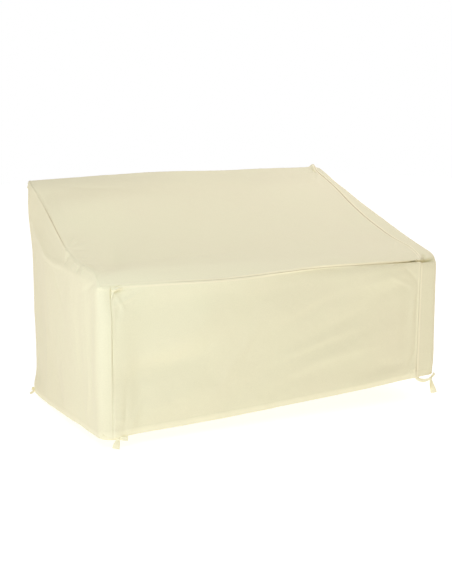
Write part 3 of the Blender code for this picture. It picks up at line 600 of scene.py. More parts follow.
def edge_distances(grid):
    """How far each point lies along the cloth from the panel's left, right, lower and upper edge: the sums of
    the lengths of the grid's steps."""
    across = np.linalg.norm(np.diff(grid, axis=1), axis=-1)
    upward = np.linalg.norm(np.diff(grid, axis=0), axis=-1)
    from_left = np.concatenate([np.zeros((grid.shape[0], 1)), np.cumsum(across, axis=1)], axis=1)
    from_below = np.concatenate([np.zeros((1, grid.shape[1])), np.cumsum(upward, axis=0)])
    return {"left": from_left, "right": from_left[:, -1:] - from_left,
            "below": from_below, "above": from_below[-1:] - from_below}


CREASE_FADE = 0.006  # creases reach their full height this far from a seam
for seed, (name, (table, first, second)) in enumerate(CREASES.items()):
    grid = panels[name]
    far = edge_distances(grid)
    seams = [far["left"], far["right"], far["above"]] + ([far["below"]] if name == "slope_cloth" else [])
    a, b = grid[..., first], grid[..., second]
    net = (a + NET_CORNER, b + NET_CORNER)
    across = a + WANDER * cloth_noise(*net, WANDER_STEP, 10 + seed)
    upward = b + WANDER * cloth_noise(*net, WANDER_STEP, 20 + seed)
    out = soft_folds(table, across, upward)
    out += sum(height * cloth_noise(*net, step, first_seed + seed) for height, step, first_seed in UNEVEN)
    out *= smooth_step(np.minimum.reduce(seams) / CREASE_FADE)
    grid += grid_normals(grid) * out[..., None]
    print(name, len(table), "creases, mm:", round(out.min() * 1000, 1), "to", round(out.max() * 1000, 1))

# %% [markdown]
# ## The lip over the front
#
# Near the right corner the slope panel pulls the front seam inwards, so the cloth above it hangs over as a
# lip with a dark gap beneath, which runs on across the side panel's strip. The gap is a notch: points are
# pushed back by a curve of their height that is flat inside and steep at its mouth, exp(-x*x*x*x). Left of
# the notch it opens into a shallow valley, the plain bell curve exp(-x*x), and further left the seam stands a
# little proud. The points of both panels at the seam are pushed alike, so the seam stays closed. At the left
# corner the cloth gathers into a small tongue, and the upright seam below it stands proud, which rounds the
# strip beside it.

# %% Notch, valley and tongue
# The notch: place across, depth.
NOTCH = ((0.40, 0.0), (0.50, 0.003), (0.57, 0.010), (0.615, 0.020), (0.64, 0.022), (0.690, 0.019),
         (0.706, 0.010), (0.720, 0.0))
NOTCH_DROP = 0.0015  # of the notch's middle, below the seam
NOTCH_HALF = 0.0042
LIP_TURN = 0.0022
STRIP_NOTCH_Z = 0.5540
STRIP_NOTCH_HALF = 1.35 * NOTCH_HALF  # the notch is wider on the side panel's strip
STRIP_WIDTH = 0.092
STRIP_FADE = 0.05
PINCH = 0.010  # the lip is drawn in over the strip: depth, then place and half sizes across and up
PINCH_AT = (0.668, 0.567)
PINCH_HALF = (0.0045, 0.011)
# Left of the middle the seam stands proud, and right of it in a valley: place across, depth, how far down.
VALLEY = ((-0.60, 0.0, 0.030), (-0.42, -0.004, 0.040), (-0.16, -0.005, 0.040), (0.02, 0.001, 0.028),
          (0.20, 0.012, 0.027), (0.40, 0.011, 0.019), (0.56, 0.008, 0.012), (0.64, 0.005, 0.008))
VALLEY_ABOVE = 0.010
VALLEY_ON_STRIP = 0.02
# The upright seam at the left stands proud of the cloth beside it: place across, how far, how wide.
PROUD_AT = -0.655
PROUD = 0.017
PROUD_WIDTHS = (0.042, 0.100)  # on the strip and on the front
PROUD_TOP, PROUD_FADE = 0.552, 0.12  # it begins at this height and grows over this length
FACE_DEPTH, FACE_FADE = -0.42, 0.02  # it ends where the cloth turns away from the front

for name, grid in panels.items():
    far = edge_distances(grid)
    depth = curve_of(NOTCH, grid[..., 0])
    valley, reach = (curve_of([(row[0], row[k]) for row in VALLEY], grid[..., 0]) for k in (1, 2))
    if name == "front_cloth":
        grid[..., 1] += depth * np.exp(-(((far["above"] - NOTCH_DROP) / NOTCH_HALF) ** 4))
        grid[..., 1] += valley * np.exp(-((far["above"] / reach) ** 2))
    elif name == "slope_cloth":
        grid[..., 1] += depth * np.exp(-((far["below"] / LIP_TURN) ** 2))
        grid[..., 1] += valley * np.exp(-((far["below"] / VALLEY_ABOVE) ** 2))
    elif name == "side_cloth_right":
        on_strip = 1 - smooth_step((far["left"] - STRIP_WIDTH) / STRIP_FADE)
        notch = depth * np.exp(-(((grid[..., 2] - STRIP_NOTCH_Z) / STRIP_NOTCH_HALF) ** 4))
        pinch = np.exp(-(((grid[..., 0] - PINCH_AT[0]) / PINCH_HALF[0]) ** 2)
                       - ((grid[..., 2] - PINCH_AT[1]) / PINCH_HALF[1]) ** 2)
        grid -= grid_normals(grid) * ((notch + PINCH * pinch) * on_strip)[..., None]
        off = ((grid[..., 2] - STRIP_NOTCH_Z) / reach) ** 2 + (far["left"] / VALLEY_ON_STRIP) ** 2
        grid[..., 1] += valley * np.exp(-off)

# Rows of the tongue on the front: across, up, half length, half width, turn, height outward.
TONGUE = ((-0.634, 0.5490, 0.022, 0.0040, 14, 0.0110), (-0.626, 0.5400, 0.026, 0.0036, 8, -0.0045),
          (-0.646, 0.5330, 0.018, 0.0040, 60, 0.0070), (-0.622, 0.5565, 0.018, 0.0024, 10, -0.0040))
TONGUE_FADE = 0.002  # it is held down at the seams
grid = panels["front_cloth"]
far = edge_distances(grid)
held = smooth_step(np.minimum(far["left"], far["above"]) / TONGUE_FADE)
grid += grid_normals(grid) * (soft_folds(TONGUE, grid[..., 0], grid[..., 2]) * held)[..., None]
for name in ("front_cloth", "side_cloth_left"):
    grid = panels[name]
    at_front = smooth_step((FACE_DEPTH - grid[..., 1]) / FACE_FADE)
    at_front *= smooth_step((PROUD_TOP - grid[..., 2]) / PROUD_FADE)
    off = grid[..., 0] - PROUD_AT
    grid[..., 1] -= PROUD * np.exp(-((off / np.where(off < 0, *PROUD_WIDTHS)) ** 2)) * at_front
print("the lip hangs over by up to", max(depth for _, depth in NOTCH) * 1000, "mm")

# %% [markdown]
# ## Sewn seams
#
# Both panels turn inwards at a seam, so a narrow groove runs along it. The turned-in cloth lies under one
# side and lifts it by its own thickness, and a row of stitches beside the groove holds it down. Thread draws
# the cloth up a little, unevenly, which gives short puckers that fade out within two fingers of the seam.
# Each point only has to know how far it is from its nearest seam, and how far along that seam. Along some
# seams the drawn-in line, with the painted shade in its groove, comes and goes, and the lifted edge beside it
# has a painted highlight.

# %% Grooves, turned-in cloth and puckers
GROOVE = 0.0015  # depth at the seam
GROOVE_WIDTH = 0.0021
TURN_IN = 0.0011  # how much the turned-in cloth lifts its side
TURN_IN_MIDDLE = 0.0068  # distance from the seam to the middle of the lifted band
TURN_IN_WIDTH = 0.0048
PUCKER = 0.0011
PUCKER_REACH = 0.013
PUCKER_NOISE = ((0.55, 0.021, 50), (0.45, 0.009, 70))  # share, step and first seed
PUCKER_MEAN, PUCKER_SWING, PUCKER_SWING_STEP = 0.55, 0.45, 0.16
# The hem's paler band is partly its two layers and partly painted light from the floor below.
HEM_PALE, OTHER_HEM_PALE = 0.8, 0.4  # how much paler the front's hem is, and the others'
NO_SEAM = 9.0  # a distance that is past everything

# For each panel, its sewn edges: which edge, a number shared by both sides of a seam, and how strongly that
# side is lifted, puckered and given a painted highlight on its lifted edge. Then, for each seam's number, how
# deep its line is drawn in, which also sets the painted shade in its groove: the upright front seams are
# pressed nearly flat.
SEAMS = {
    "front_cloth": (("left", 1, 0.3, 0.8, 0.2), ("right", 2, 1.2, 0.9, 0.4), ("above", 3, 0.6, 0.7, 0.9)),
    "slope_cloth": (("left", 4, 1.0, 1.3, 0.5), ("right", 5, 0.6, 1.0, 0.6), ("below", 3, 1.0, 0.8, 1.0),
                    ("above", 6, 0.8, 0.8, 0.2)),
    "back_cloth": (("left", 8, 0.8, 1.0, 0.3), ("right", 7, 0.8, 1.0, 0.3), ("above", 6, 0.6, 0.9, 0.3)),
    "side_cloth_left": (("right", 1, 0.2, 0.6, 0.2), ("left", 7, 0.8, 1.0, 0.3), ("above", 4, 1.2, 1.4, 0.5)),
    "side_cloth_right": (("left", 2, 0.5, 0.9, 1.0), ("right", 8, 0.8, 1.0, 0.3),
                         ("above", 5, 1.3, 1.0, 1.0)),
}
DRAWN = {1: 0.05, 2: 0.35, 3: 0.6, 4: 0.8, 5: 0.8, 6: 0.6, 7: 0.8, 8: 0.8}
# Along three seams the line comes and goes. Seam: the axis it is measured on, then rows of place, share.
DRAWN_ALONG = {
    3: (0, ((-0.66, 0.05), (-0.48, 0.10), (-0.34, 0.80), (-0.20, 1.0), (0.64, 1.0))),
    4: (1, ((-0.46, 0.05), (-0.12, 0.15), (-0.05, 1.0), (0.12, 1.0), (0.20, 0.35), (0.44, 0.20))),
    5: (1, ((-0.46, 0.0), (-0.36, 0.15), (-0.24, 0.9), (0.44, 1.0))),
}
# The same for how strong the painted highlight on one side of a seam is.
HIGHLIGHT_ALONG = {
    ("front_cloth", 3): (0, ((-0.66, 0.3), (-0.45, 0.9), (-0.05, 0.9), (0.15, 0.2), (0.64, 0.1))),
    ("slope_cloth", 3): (0, ((-0.70, 0.2), (-0.30, 0.5), (-0.10, 1.0), (0.64, 1.0))),
    ("slope_cloth", 4): (1, ((-0.46, 0.0), (-0.20, 0.2), (-0.05, 1.0), (0.20, 1.0), (0.44, 0.3))),
    ("side_cloth_left", 4): (1, ((-0.46, 0.0), (-0.20, 0.2), (-0.05, 1.0), (0.20, 0.8), (0.44, 0.3))),
}
EVEN_ALONG = (0, ((-1.0, 1.0), (1.0, 1.0)))


def place_along(grid, edge, far):
    """How far along a seam each point is: its distance from the hem or front for an upright seam, and from
    the panel's left for a level one."""
    return far["below"] if edge in ("left", "right") else far["left"]


point_values, cloth_map = {}, {}
for name, grid in panels.items():
    far = edge_distances(grid)
    nearest = np.full(grid.shape[:2], NO_SEAM)
    along_nearest = np.zeros(grid.shape[:2])
    drawn, highlight, out = (np.zeros(grid.shape[:2]) for _ in range(3))
    for edge, number, lift, pucker, pale in SEAMS[name]:
        off = far[edge]
        along = place_along(grid, edge, far)
        near = off < nearest
        nearest = np.where(near, off, nearest)
        along_nearest = np.where(near, along, along_nearest)
        axis, shares = DRAWN_ALONG.get(number, EVEN_ALONG)
        drawn = np.where(near, DRAWN[number] * curve_of(shares, grid[..., axis]), drawn)
        axis, shares = HIGHLIGHT_ALONG.get((name, number), EVEN_ALONG)
        highlight = np.where(near, pale * curve_of(shares, grid[..., axis]), highlight)
        swell = sum(part * line_noise(along, step, first_seed + number)
                    for part, step, first_seed in PUCKER_NOISE)
        strong = PUCKER_MEAN + PUCKER_SWING * line_noise(along, PUCKER_SWING_STEP, 90 + number)
        share = off / PUCKER_REACH
        out += pucker * PUCKER * strong * swell * share * np.exp(1 - share)
        out += lift * TURN_IN * np.exp(-(((off - TURN_IN_MIDDLE) / TURN_IN_WIDTH) ** 2))
    out -= GROOVE * drawn * np.exp(-((nearest / GROOVE_WIDTH) ** 2))
    pale_hem = HEM_PALE if name == "front_cloth" else OTHER_HEM_PALE
    point_values[name] = {
        "seam_off": nearest, "seam_along": along_nearest, "seam_drawn": drawn, "seam_highlight": highlight,
        "hem_up": np.full(grid.shape[:2], NO_SEAM) if name == "slope_cloth" else far["below"],
        "hem_pale": np.full(grid.shape[:2], pale_hem)}
    cloth_map[name] = np.stack([far["left"], far["below"]], axis=-1)
    grid += grid_normals(grid) * out[..., None]
print("seam relief from", round(-GROOVE * 1000, 1), "to", round((TURN_IN * 1.3 + PUCKER) * 1000, 1), "mm")

# %% [markdown]
# ## The hem
#
# The lower edge is turned up once and sewn, so its band is two layers thick: it stands a little proud, ends
# in a small step, and its bottom edge is a round fold. It also waves slightly, because a sewn band is stiffer
# than the single cloth over it, and the thread draws its edge in.

# %% Hem band
HEM_STEP = 0.0006  # the band stands proud by this
HEM_ROLL = 0.0022  # how far the folded edge turns in again
HEM_STEP_BEFORE, HEM_STEP_FADE = 0.0016, 0.0014  # how far below the band's top the step begins, its length
HEM_ROLL_REACH = 0.0016
HEM_WAVE = 0.0016
HEM_WAVES = ((1.0, 0.085, 110), (0.5, 0.032, 120))  # share, step and first seed
HEM_WAVE_REACH = 0.045
HEM_DRAWN = 0.004  # how far the thread draws the edge in
HEM_DRAWN_REACH = 0.036
HEM_END_FADE = 0.03
for seed, (name, grid) in enumerate(panels.items()):
    if name == "slope_cloth":
        continue
    far = edge_distances(grid)
    low, along = point_values[name]["hem_up"], far["left"]
    band = 1 - smooth_step((low - HEM_DEPTH + HEM_STEP_BEFORE) / HEM_STEP_FADE)
    out = HEM_STEP * band - HEM_ROLL * np.exp(-((low / HEM_ROLL_REACH) ** 2))
    wave = sum(part * line_noise(along, step, first_seed + seed) for part, step, first_seed in HEM_WAVES)
    ends = smooth_step(np.minimum(far["left"], far["right"]) / HEM_END_FADE)
    out += HEM_WAVE * wave * ends * np.exp(-((low / HEM_WAVE_REACH) ** 2))
    out -= HEM_DRAWN * ends * np.exp(-((low / HEM_DRAWN_REACH) ** 2))
    grid += grid_normals(grid) * out[..., None]
print("hem band", HEM_DEPTH * 1000, "mm deep,", HEM_STEP * 1000, "mm proud")

# %% [markdown]
# ## From grids to meshes
#
# Each grid becomes a mesh of four-sided faces, and Solidify gives it the cloth's thickness inwards. The map
# of the cloth is in real metres, so a weave drawn on it has the same thread size everywhere. Six values are
# kept with the points for the materials: the distance from the nearest seam, the place along it, how deep its
# line is drawn in, which sets its painted shade, how strong the painted highlight beside it is, the height
# above the hem's edge, and how pale the hem is, partly for its two layers and partly as painted light.

# %% The five panels as meshes
CLOTH = 0.0022  # thickness of the coated cloth


def keep_values(mesh, values):
    """Stores one number for each point under each name."""
    for name, numbers in values.items():
        layer = mesh.attributes.new(name, "FLOAT", "POINT")
        layer.data.foreach_set("value", numbers.astype(np.float32).ravel())


def lay_map(mesh, places):
    """Gives each corner of each face its point's place on the cloth, in metres."""
    corner = np.empty(len(mesh.loops), np.int32)
    mesh.loops.foreach_get("vertex_index", corner)
    layer = mesh.uv_layers.new(name="cloth")
    layer.data.foreach_set("uv", places.reshape(-1, 2)[corner].astype(np.float32).ravel())


def surface(name, grid):
    """A mesh object from a grid of points: one face between each four neighbours, all turning the same way."""
    rows, columns = grid.shape[:2]
    at = np.arange(rows * columns).reshape(rows, columns)
    faces = np.stack([at[:-1, :-1], at[:-1, 1:], at[1:, 1:], at[1:, :-1]], axis=-1).reshape(-1, 4)
    mesh = bpy.data.meshes.new(name)
    mesh.from_pydata((grid - SUPPORT).reshape(-1, 3), [], faces)
    mesh.shade_smooth()
    piece = bpy.data.objects.new(name, mesh)
    bpy.context.scene.collection.objects.link(piece)
    return piece


pieces = {}
for name, grid in panels.items():
    piece = surface(name, grid)
    lay_map(piece.data, cloth_map[name])
    keep_values(piece.data, point_values[name])
    thick = piece.modifiers.new("thickness", "SOLIDIFY")
    thick.thickness = CLOTH
    thick.offset = -1
    pieces[name] = piece
    print(name, len(piece.data.polygons), "faces before its thickness")

# %% [markdown]
# ## Ties
#
# A tie is two narrow tapes of the same cloth, one from each side of the corner, knotted where they meet, with
# two short ends hanging out. A tape is a thin profile carried along a smooth path. Its rows say where it
# runs, how wide it is and how it twists, so it is narrow at the knot and opens out towards its end. The knot
# is a small ball whose radius rises and falls in slanting turns, as wound cloth does.

# %% Tapes and knots
TAPE_THICK = 0.0016
TAPE_STEPS = 30
TAPE_ACROSS = 9
TAPE_CUP = 0.10  # how far a tape's middle stands out of its edges, as a share of its width
TAPE_THIN = 0.55  # how much of its thickness it loses at the edges
# The knot: middle and half sizes. Then each tape's rows: across, depth, height, width, turn in degrees.
FRONT_LEFT_KNOT = ((-0.6490, -0.4680, 0.0295), (0.0100, 0.0066, 0.0085))
FRONT_LEFT_TAPES = (
    ((-0.7025, -0.4575, 0.0405, 0.018, 0), (-0.6855, -0.4638, 0.0365, 0.016, 0),
     (-0.6680, -0.4660, 0.0325, 0.013, 0), (-0.6520, -0.4680, 0.0300, 0.009, 0)),
    ((-0.6310, -0.4606, 0.0450, 0.016, 0), (-0.6400, -0.4630, 0.0380, 0.013, 0),
     (-0.6470, -0.4672, 0.0315, 0.009, 0)),
    ((-0.6500, -0.4690, 0.0270, 0.012, 0), (-0.6530, -0.4720, 0.0180, 0.019, 8),
     (-0.6575, -0.4735, 0.0080, 0.024, 14), (-0.6605, -0.4730, -0.0035, 0.026, 12)),
    ((-0.6460, -0.4695, 0.0295, 0.010, 0), (-0.6370, -0.4735, 0.0292, 0.013, -10),
     (-0.6260, -0.4755, 0.0285, 0.016, -16), (-0.6160, -0.4750, 0.0275, 0.018, -14)),
)
FRONT_RIGHT_KNOT = ((0.6796, -0.4682, 0.0775), (0.0076, 0.0066, 0.0080))
FRONT_RIGHT_TAPES = (
    ((0.6080, -0.4535, 0.1020, 0.014, 0), (0.6180, -0.4535, 0.0910, 0.014, 0),
     (0.6310, -0.4545, 0.0782, 0.0135, 0), (0.6500, -0.4582, 0.0712, 0.0145, 0),
     (0.6660, -0.4640, 0.0735, 0.011, 0), (0.6780, -0.4680, 0.0770, 0.008, 0)),
    ((0.7100, -0.4535, 0.0925, 0.013, 0), (0.6995, -0.4597, 0.0880, 0.012, 0),
     (0.6880, -0.4640, 0.0830, 0.010, 0), (0.6815, -0.4678, 0.0790, 0.008, 0)),
    ((0.6812, -0.4690, 0.0740, 0.009, 10), (0.6835, -0.4705, 0.0560, 0.016, 26),
     (0.6890, -0.4720, 0.0370, 0.022, 36), (0.6940, -0.4725, 0.0195, 0.025, 38)),
    ((0.6780, -0.4695, 0.0740, 0.008, -40), (0.6750, -0.4725, 0.0620, 0.011, -52),
     (0.6750, -0.4740, 0.0410, 0.013, -54)),
)
BACK_KNOT = ((-0.6840, 0.4405, 0.0120), (0.0090, 0.0066, 0.0080))
BACK_TAPES = (
    ((-0.7050, 0.4235, 0.0220, 0.016, 0), (-0.6970, 0.4345, 0.0180, 0.013, 0),
     (-0.6865, 0.4405, 0.0135, 0.009, 0)),
    ((-0.6600, 0.4330, 0.0280, 0.017, 0), (-0.6700, 0.4350, 0.0205, 0.014, 0),
     (-0.6815, 0.4395, 0.0135, 0.009, 0)),
    ((-0.6860, 0.4420, 0.0105, 0.009, 20), (-0.6950, 0.4450, 0.0035, 0.012, 60),
     (-0.7030, 0.4460, -0.0020, 0.014, 70), (-0.7095, 0.4460, -0.0045, 0.014, 74)),
    ((-0.6820, 0.4420, 0.0100, 0.009, 0), (-0.6775, 0.4440, 0.0020, 0.016, 0),
     (-0.6750, 0.4450, -0.0055, 0.020, 0)),
)
BACK_RIGHT_LIFT = 0.040  # the right rear corner hangs higher by this


def tube(sections):
    """Points and faces of a closed skin through rings of points, with a flat end on the first and last."""
    rings, sides = sections.shape[:2]
    at = np.arange(rings * sides).reshape(rings, sides)
    step = np.roll(at, -1, axis=1)
    walls = np.stack([at[:-1], step[:-1], step[1:], at[1:]], axis=-1).reshape(-1, 4)
    return sections.reshape(-1, 3), walls.tolist() + [at[0, ::-1].tolist(), at[-1].tolist()]


def tape(rows, out):
    """A tape through its rows: a cupped strip whose width lies across its path, turned by the row's angle.

    Across the strip, w runs from -1 to 1, and a point is path + w * wide + (1 - w*w) * cup * out of the strip,
    once for the upper face and once, backwards, for the lower.
    """
    rows = np.array(rows)
    place = np.arange(len(rows))
    line = through(np.column_stack([place, rows]), np.linspace(0, place[-1], TAPE_STEPS + 1))
    along = unit(np.gradient(line[:, :3], axis=0))
    level = unit(np.cross(along, out))
    turn = np.radians(line[:, 4:])
    wide = (level * np.cos(turn) + np.cross(along, level) * np.sin(turn)) * line[:, 3:4] / 2
    thick = np.cross(along, unit(wide))
    w = np.linspace(-1, 1, TAPE_ACROSS)[None, :, None]
    cup = TAPE_CUP * line[:, None, 3:4] * (1 - w * w) * np.sign((thick * out).sum(axis=1))[:, None, None]
    middle = line[:, None, :3] + w * wide[:, None] + cup * thick[:, None]
    edge = np.sqrt(np.clip(1 - TAPE_THIN * np.abs(w) ** 6, 0, 1)) * TAPE_THICK / 2
    lower, upper = middle - edge * thick[:, None], middle + edge * thick[:, None]
    return tube(np.concatenate([lower, upper[:, ::-1]], axis=1))


KNOT_RINGS = 25
KNOT_SIDES = 40
KNOT_TURNS = 3
KNOT_GROOVE = 0.13
KNOT_SLANT = 2.2
KNOT_POLE = 86  # degrees at which the lump is closed off flat
TIE_SHARP = 50  # degrees from which an edge is kept sharp


def knot(middle, half_sizes):
    """A wound lump with its axis across. With w = |sin(turns * angle / 2 + slant * sin(lift))| its radius is
    1 - groove * (1 - w)(1 - w), so the grooves between the turns are narrow and the turns full."""
    lift = np.radians(np.linspace(-KNOT_POLE, KNOT_POLE, KNOT_RINGS))[:, None]
    turn = np.radians(np.arange(KNOT_SIDES) * 360 / KNOT_SIDES)[None, :]
    wound = 1 - KNOT_GROOVE * (1 - np.abs(np.sin(KNOT_TURNS * turn / 2 + KNOT_SLANT * np.sin(lift)))) ** 2
    ball = np.stack([np.sin(lift) + 0 * turn,
                     np.cos(lift) * np.cos(turn), np.cos(lift) * np.sin(turn)], axis=-1)
    return tube(ball * wound[..., None] * half_sizes + middle)


def tie(name, lump, tapes, out, mirror=1, lift=0.0):
    """One piece of a knot and its tapes, mirrored and lifted where a table serves both sides."""
    points, faces, start = [], [], 0
    for some_points, some_faces in [knot(*lump)] + [tape(rows, out) for rows in tapes]:
        points.append(some_points * (mirror, 1, 1) + (0, 0, lift) - SUPPORT)
        faces += [[start + k for k in face[::mirror]] for face in some_faces]
        start += len(some_points)
    mesh = bpy.data.meshes.new(name)
    mesh.from_pydata(np.concatenate(points), [], faces)
    mesh.shade_smooth()
    mesh.set_sharp_from_angle(angle=np.radians(TIE_SHARP))
    piece = bpy.data.objects.new(name, mesh)
    bpy.context.scene.collection.objects.link(piece)
    pieces[name] = piece
    return piece


FORWARD, BACKWARD = (0, -1, 0), (0, 1, 0)
TIES = {
    "tapes_front_left": (FRONT_LEFT_KNOT, FRONT_LEFT_TAPES, FORWARD),
    "tapes_front_right": (FRONT_RIGHT_KNOT, FRONT_RIGHT_TAPES, FORWARD),
    "tapes_back_left": (BACK_KNOT, BACK_TAPES, BACKWARD),
    "tapes_back_right": (BACK_KNOT, BACK_TAPES, BACKWARD, -1, BACK_RIGHT_LIFT),
}
for name, shape in TIES.items():
    print(name, len(tie(name, *shape).data.polygons), "faces")

# %% [markdown]
# ## The cloth's finish
#
# This is a plain weave with a thin waterproof coating: cream, dull, with a faint sheen at low angles, and a
# grain so fine that it shows only close up. A picture of cloth would be simple, but it would repeat. Two
# crossed rows of waves, drawn on the map in metres, give threads of the true size and never repeat, and slow
# noise keeps the colour from being flat. Stitches are drawn where the distance from the seam says so, in
# dashes along it, and so are a painted shade in the groove of a drawn-in seam and a painted highlight on the
# lifted edge beside it. The hem's band is paler, partly for its two layers and partly as painted light from
# the floor. Shade is painted along the ridge as a darker grey, most at the left, and the tapes are paler
# than the panels.

# %% Node helpers and the cloth material
THREAD_PITCH = 0.0011
WEAVE_HEIGHT, GRAIN_HEIGHT, FIBRE_HEIGHT = 0.00003, 0.00010, 0.00030
STITCH_OFF = 0.0068  # from the seam to its stitches
STITCH_LENGTH = 0.0042
STITCH_HALF = 0.0009  # half a stitch's width
STITCH_HEIGHT = 0.0005
DENT_HALF, DENT_DEPTH = 0.0026, 0.0003  # the cloth dips beside its stitches
HEM_STITCH_UP = 0.0255  # from the hem's edge to its stitches
# The hem's paler tone stands partly for its two layers and partly for painted light from the floor.
HEM_BAND = (0.010, 0.036)  # the hem's paler tone fades out between these heights
# Half width of the painted shade along a seam's groove.
GROOVE_HALF = 0.0030
# Painted highlight on the lifted edge beside a seam: its distance from the seam and its half width.
HIGHLIGHT_OFF, HIGHLIGHT_HALF = 0.0066, 0.0060
# Painted shade along the ridge: a darker grey over the top of the slope, strongest at the left.
RIDGE_HEIGHTS = (-0.075, -0.005)  # the greyed tone grows between these, measured from the ridge
RIDGE_PLACES, RIDGE_SHADE_SHARES = (-0.60, 0.0), (0.34, 0.12)  # and is strongest at the left
CREAM_WARM = (0.873, 0.812, 0.572, 1.0)
CREAM_PALE = (0.872, 0.835, 0.576, 1.0)
RIDGE_PAINTED_SHADE = (0.60, 0.575, 0.425, 1.0)
# The hem band's cream: paler for its two layers and for painted light from the floor.
HEM_LAYERED_AND_LIT_CREAM = (0.985, 0.930, 0.660, 1.0)
# Brown of the painted shade in a drawn-in seam's groove.
GROOVE_PAINTED_SHADE = (0.50, 0.35, 0.17, 1.0)
# Cream of the painted highlight on the lifted edge beside a seam.
PAINTED_HIGHLIGHT_CREAM = (1.0, 0.925, 0.66, 1.0)
THREAD_CREAM = (0.90, 0.85, 0.60, 1.0)
TAPE_CREAM = (0.985, 0.925, 0.640, 1.0)


class Maker:
    """Adds nodes to a material and joins them: a number is set on its socket, and a socket is linked."""

    def __init__(self, name):
        self.material = bpy.data.materials.new(name)
        self.material.use_nodes = True
        self.tree = self.material.node_tree
        self.shader = self.tree.nodes["Principled BSDF"]

    def node(self, kind, inputs=(), **settings):
        made = self.tree.nodes.new(kind)
        for key, value in settings.items():
            setattr(made, key, value)
        for key, value in dict(inputs).items():
            if isinstance(value, bpy.types.NodeSocket):
                self.tree.links.new(value, made.inputs[key])
            else:
                made.inputs[key].default_value = value
        return made

    def maths(self, operation, *values):
        return self.node("ShaderNodeMath", dict(enumerate(values)), operation=operation).outputs[0]

    def value_of(self, attribute):
        return self.node("ShaderNodeAttribute", attribute_name=attribute).outputs["Fac"]

    def noise(self, place, scale, detail, roughness):
        settings = {"Vector": place, "Scale": scale, "Detail": detail, "Roughness": roughness}
        return self.node("ShaderNodeTexNoise", settings).outputs["Fac"]

    def ramp(self, value, ends, low, high, kind="LINEAR"):
        """low where a value is at the first of the ends, high where it is at the second, a ramp between."""
        settings = {"Value": value, "From Min": ends[0], "From Max": ends[1], "To Min": low, "To Max": high}
        return self.node("ShaderNodeMapRange", settings, interpolation_type=kind).outputs[0]

    def band(self, value, middle, half_width):
        """1 where a value is at the middle and 0 from half_width on: 1 - |value - middle| / half_width,
        with soft ends."""
        off = self.maths("ABSOLUTE", self.maths("SUBTRACT", value, middle))
        return self.ramp(off, (0.0, half_width), 1.0, 0.0, "SMOOTHSTEP")

    def blend(self, share, first, second, kind="MIX"):
        made = self.node("ShaderNodeMix", data_type="RGBA", blend_type=kind)
        for socket, value in ((made.inputs[0], share), (made.inputs[6], first), (made.inputs[7], second)):
            if isinstance(value, bpy.types.NodeSocket):
                self.tree.links.new(value, socket)
            else:
                socket.default_value = value
        return made.outputs[2]


def plain_colour(make, on_object, grain):
    """Cream, a little warmer in slow clouds, with a fine grain, and with painted shade along the ridge, darker
    to the left.
    """
    colour = make.blend(make.noise(on_object, 5.0, 3.0, 0.5), CREAM_WARM, CREAM_PALE)
    shade = make.ramp(grain, (0.3, 0.7), 0.975, 1.02)
    shades = make.node("ShaderNodeCombineColor", {0: shade, 1: shade, 2: shade}).outputs[0]
    colour = make.blend(1.0, colour, shades, "MULTIPLY")
    where = make.node("ShaderNodeSeparateXYZ", {0: on_object})
    high = make.ramp(where.outputs[2], RIDGE_HEIGHTS, 0.0, 1.0, "SMOOTHSTEP")
    to_left = make.ramp(where.outputs[0], RIDGE_PLACES, *RIDGE_SHADE_SHARES)
    return make.blend(make.maths("MULTIPLY", high, to_left), colour, RIDGE_PAINTED_SHADE)


def weave_relief(make, across, upward, grain, fibre):
    """The cloth's height: sin(x) * sin(y), so that one thread is high and the next low, and the coating's grain
    and fibres on it."""
    waves = [make.maths("SINE", make.maths("MULTIPLY", place, 2 * np.pi / THREAD_PITCH))
             for place in (across, upward)]
    height = make.maths("MULTIPLY", make.maths("MULTIPLY", *waves), WEAVE_HEIGHT)
    height = make.maths("ADD", height, make.maths("MULTIPLY", grain, GRAIN_HEIGHT))
    return make.maths("ADD", height, make.maths("MULTIPLY", fibre, FIBRE_HEIGHT))


def sewn_lines(make, across, colour, height):
    """Colour and height with what the sewing adds: stitches, the hem's paler band, painted shade in drawn-in
    grooves and a painted highlight on the lifted edges beside them.
    """
    off, along, hem = (make.value_of(value) for value in ("seam_off", "seam_along", "hem_up"))
    rows = []
    for distance, place, middle in ((off, along, STITCH_OFF), (hem, across, HEM_STITCH_UP)):
        phase = make.maths("FRACT", make.maths("DIVIDE", place, STITCH_LENGTH))
        row = make.band(distance, middle, STITCH_HALF)
        rows.append(make.maths("MULTIPLY", row, make.band(phase, 0.5, 0.42)))
    stitches = make.maths("MAXIMUM", *rows)
    dents = make.maths("MAXIMUM", make.band(off, STITCH_OFF, DENT_HALF),
                       make.band(hem, HEM_STITCH_UP, DENT_HALF))
    height = make.maths("ADD", height, make.maths("MULTIPLY", stitches, STITCH_HEIGHT))
    height = make.maths("SUBTRACT", height, make.maths("MULTIPLY", dents, DENT_DEPTH))

    hem_band = make.ramp(hem, HEM_BAND, 1.0, 0.0, "SMOOTHSTEP")
    hem_band = make.maths("MULTIPLY", hem_band, make.value_of("hem_pale"))
    # Painted shade in the seam's groove, as strong as the seam is drawn in.
    groove = make.maths("MULTIPLY", make.band(off, 0.0, GROOVE_HALF), make.value_of("seam_drawn"))
    # Painted highlight on the lifted edge beside the seam.
    highlight = make.maths("MULTIPLY", make.band(off, HIGHLIGHT_OFF, HIGHLIGHT_HALF), make.value_of("seam_highlight"))
    for share, tone in ((hem_band, HEM_LAYERED_AND_LIT_CREAM), (make.maths("MULTIPLY", groove, 0.70), GROOVE_PAINTED_SHADE),
                        (highlight, PAINTED_HIGHLIGHT_CREAM), (make.maths("MULTIPLY", stitches, 0.6), THREAD_CREAM)):
        colour = make.blend(share, colour, tone)
    return colour, height


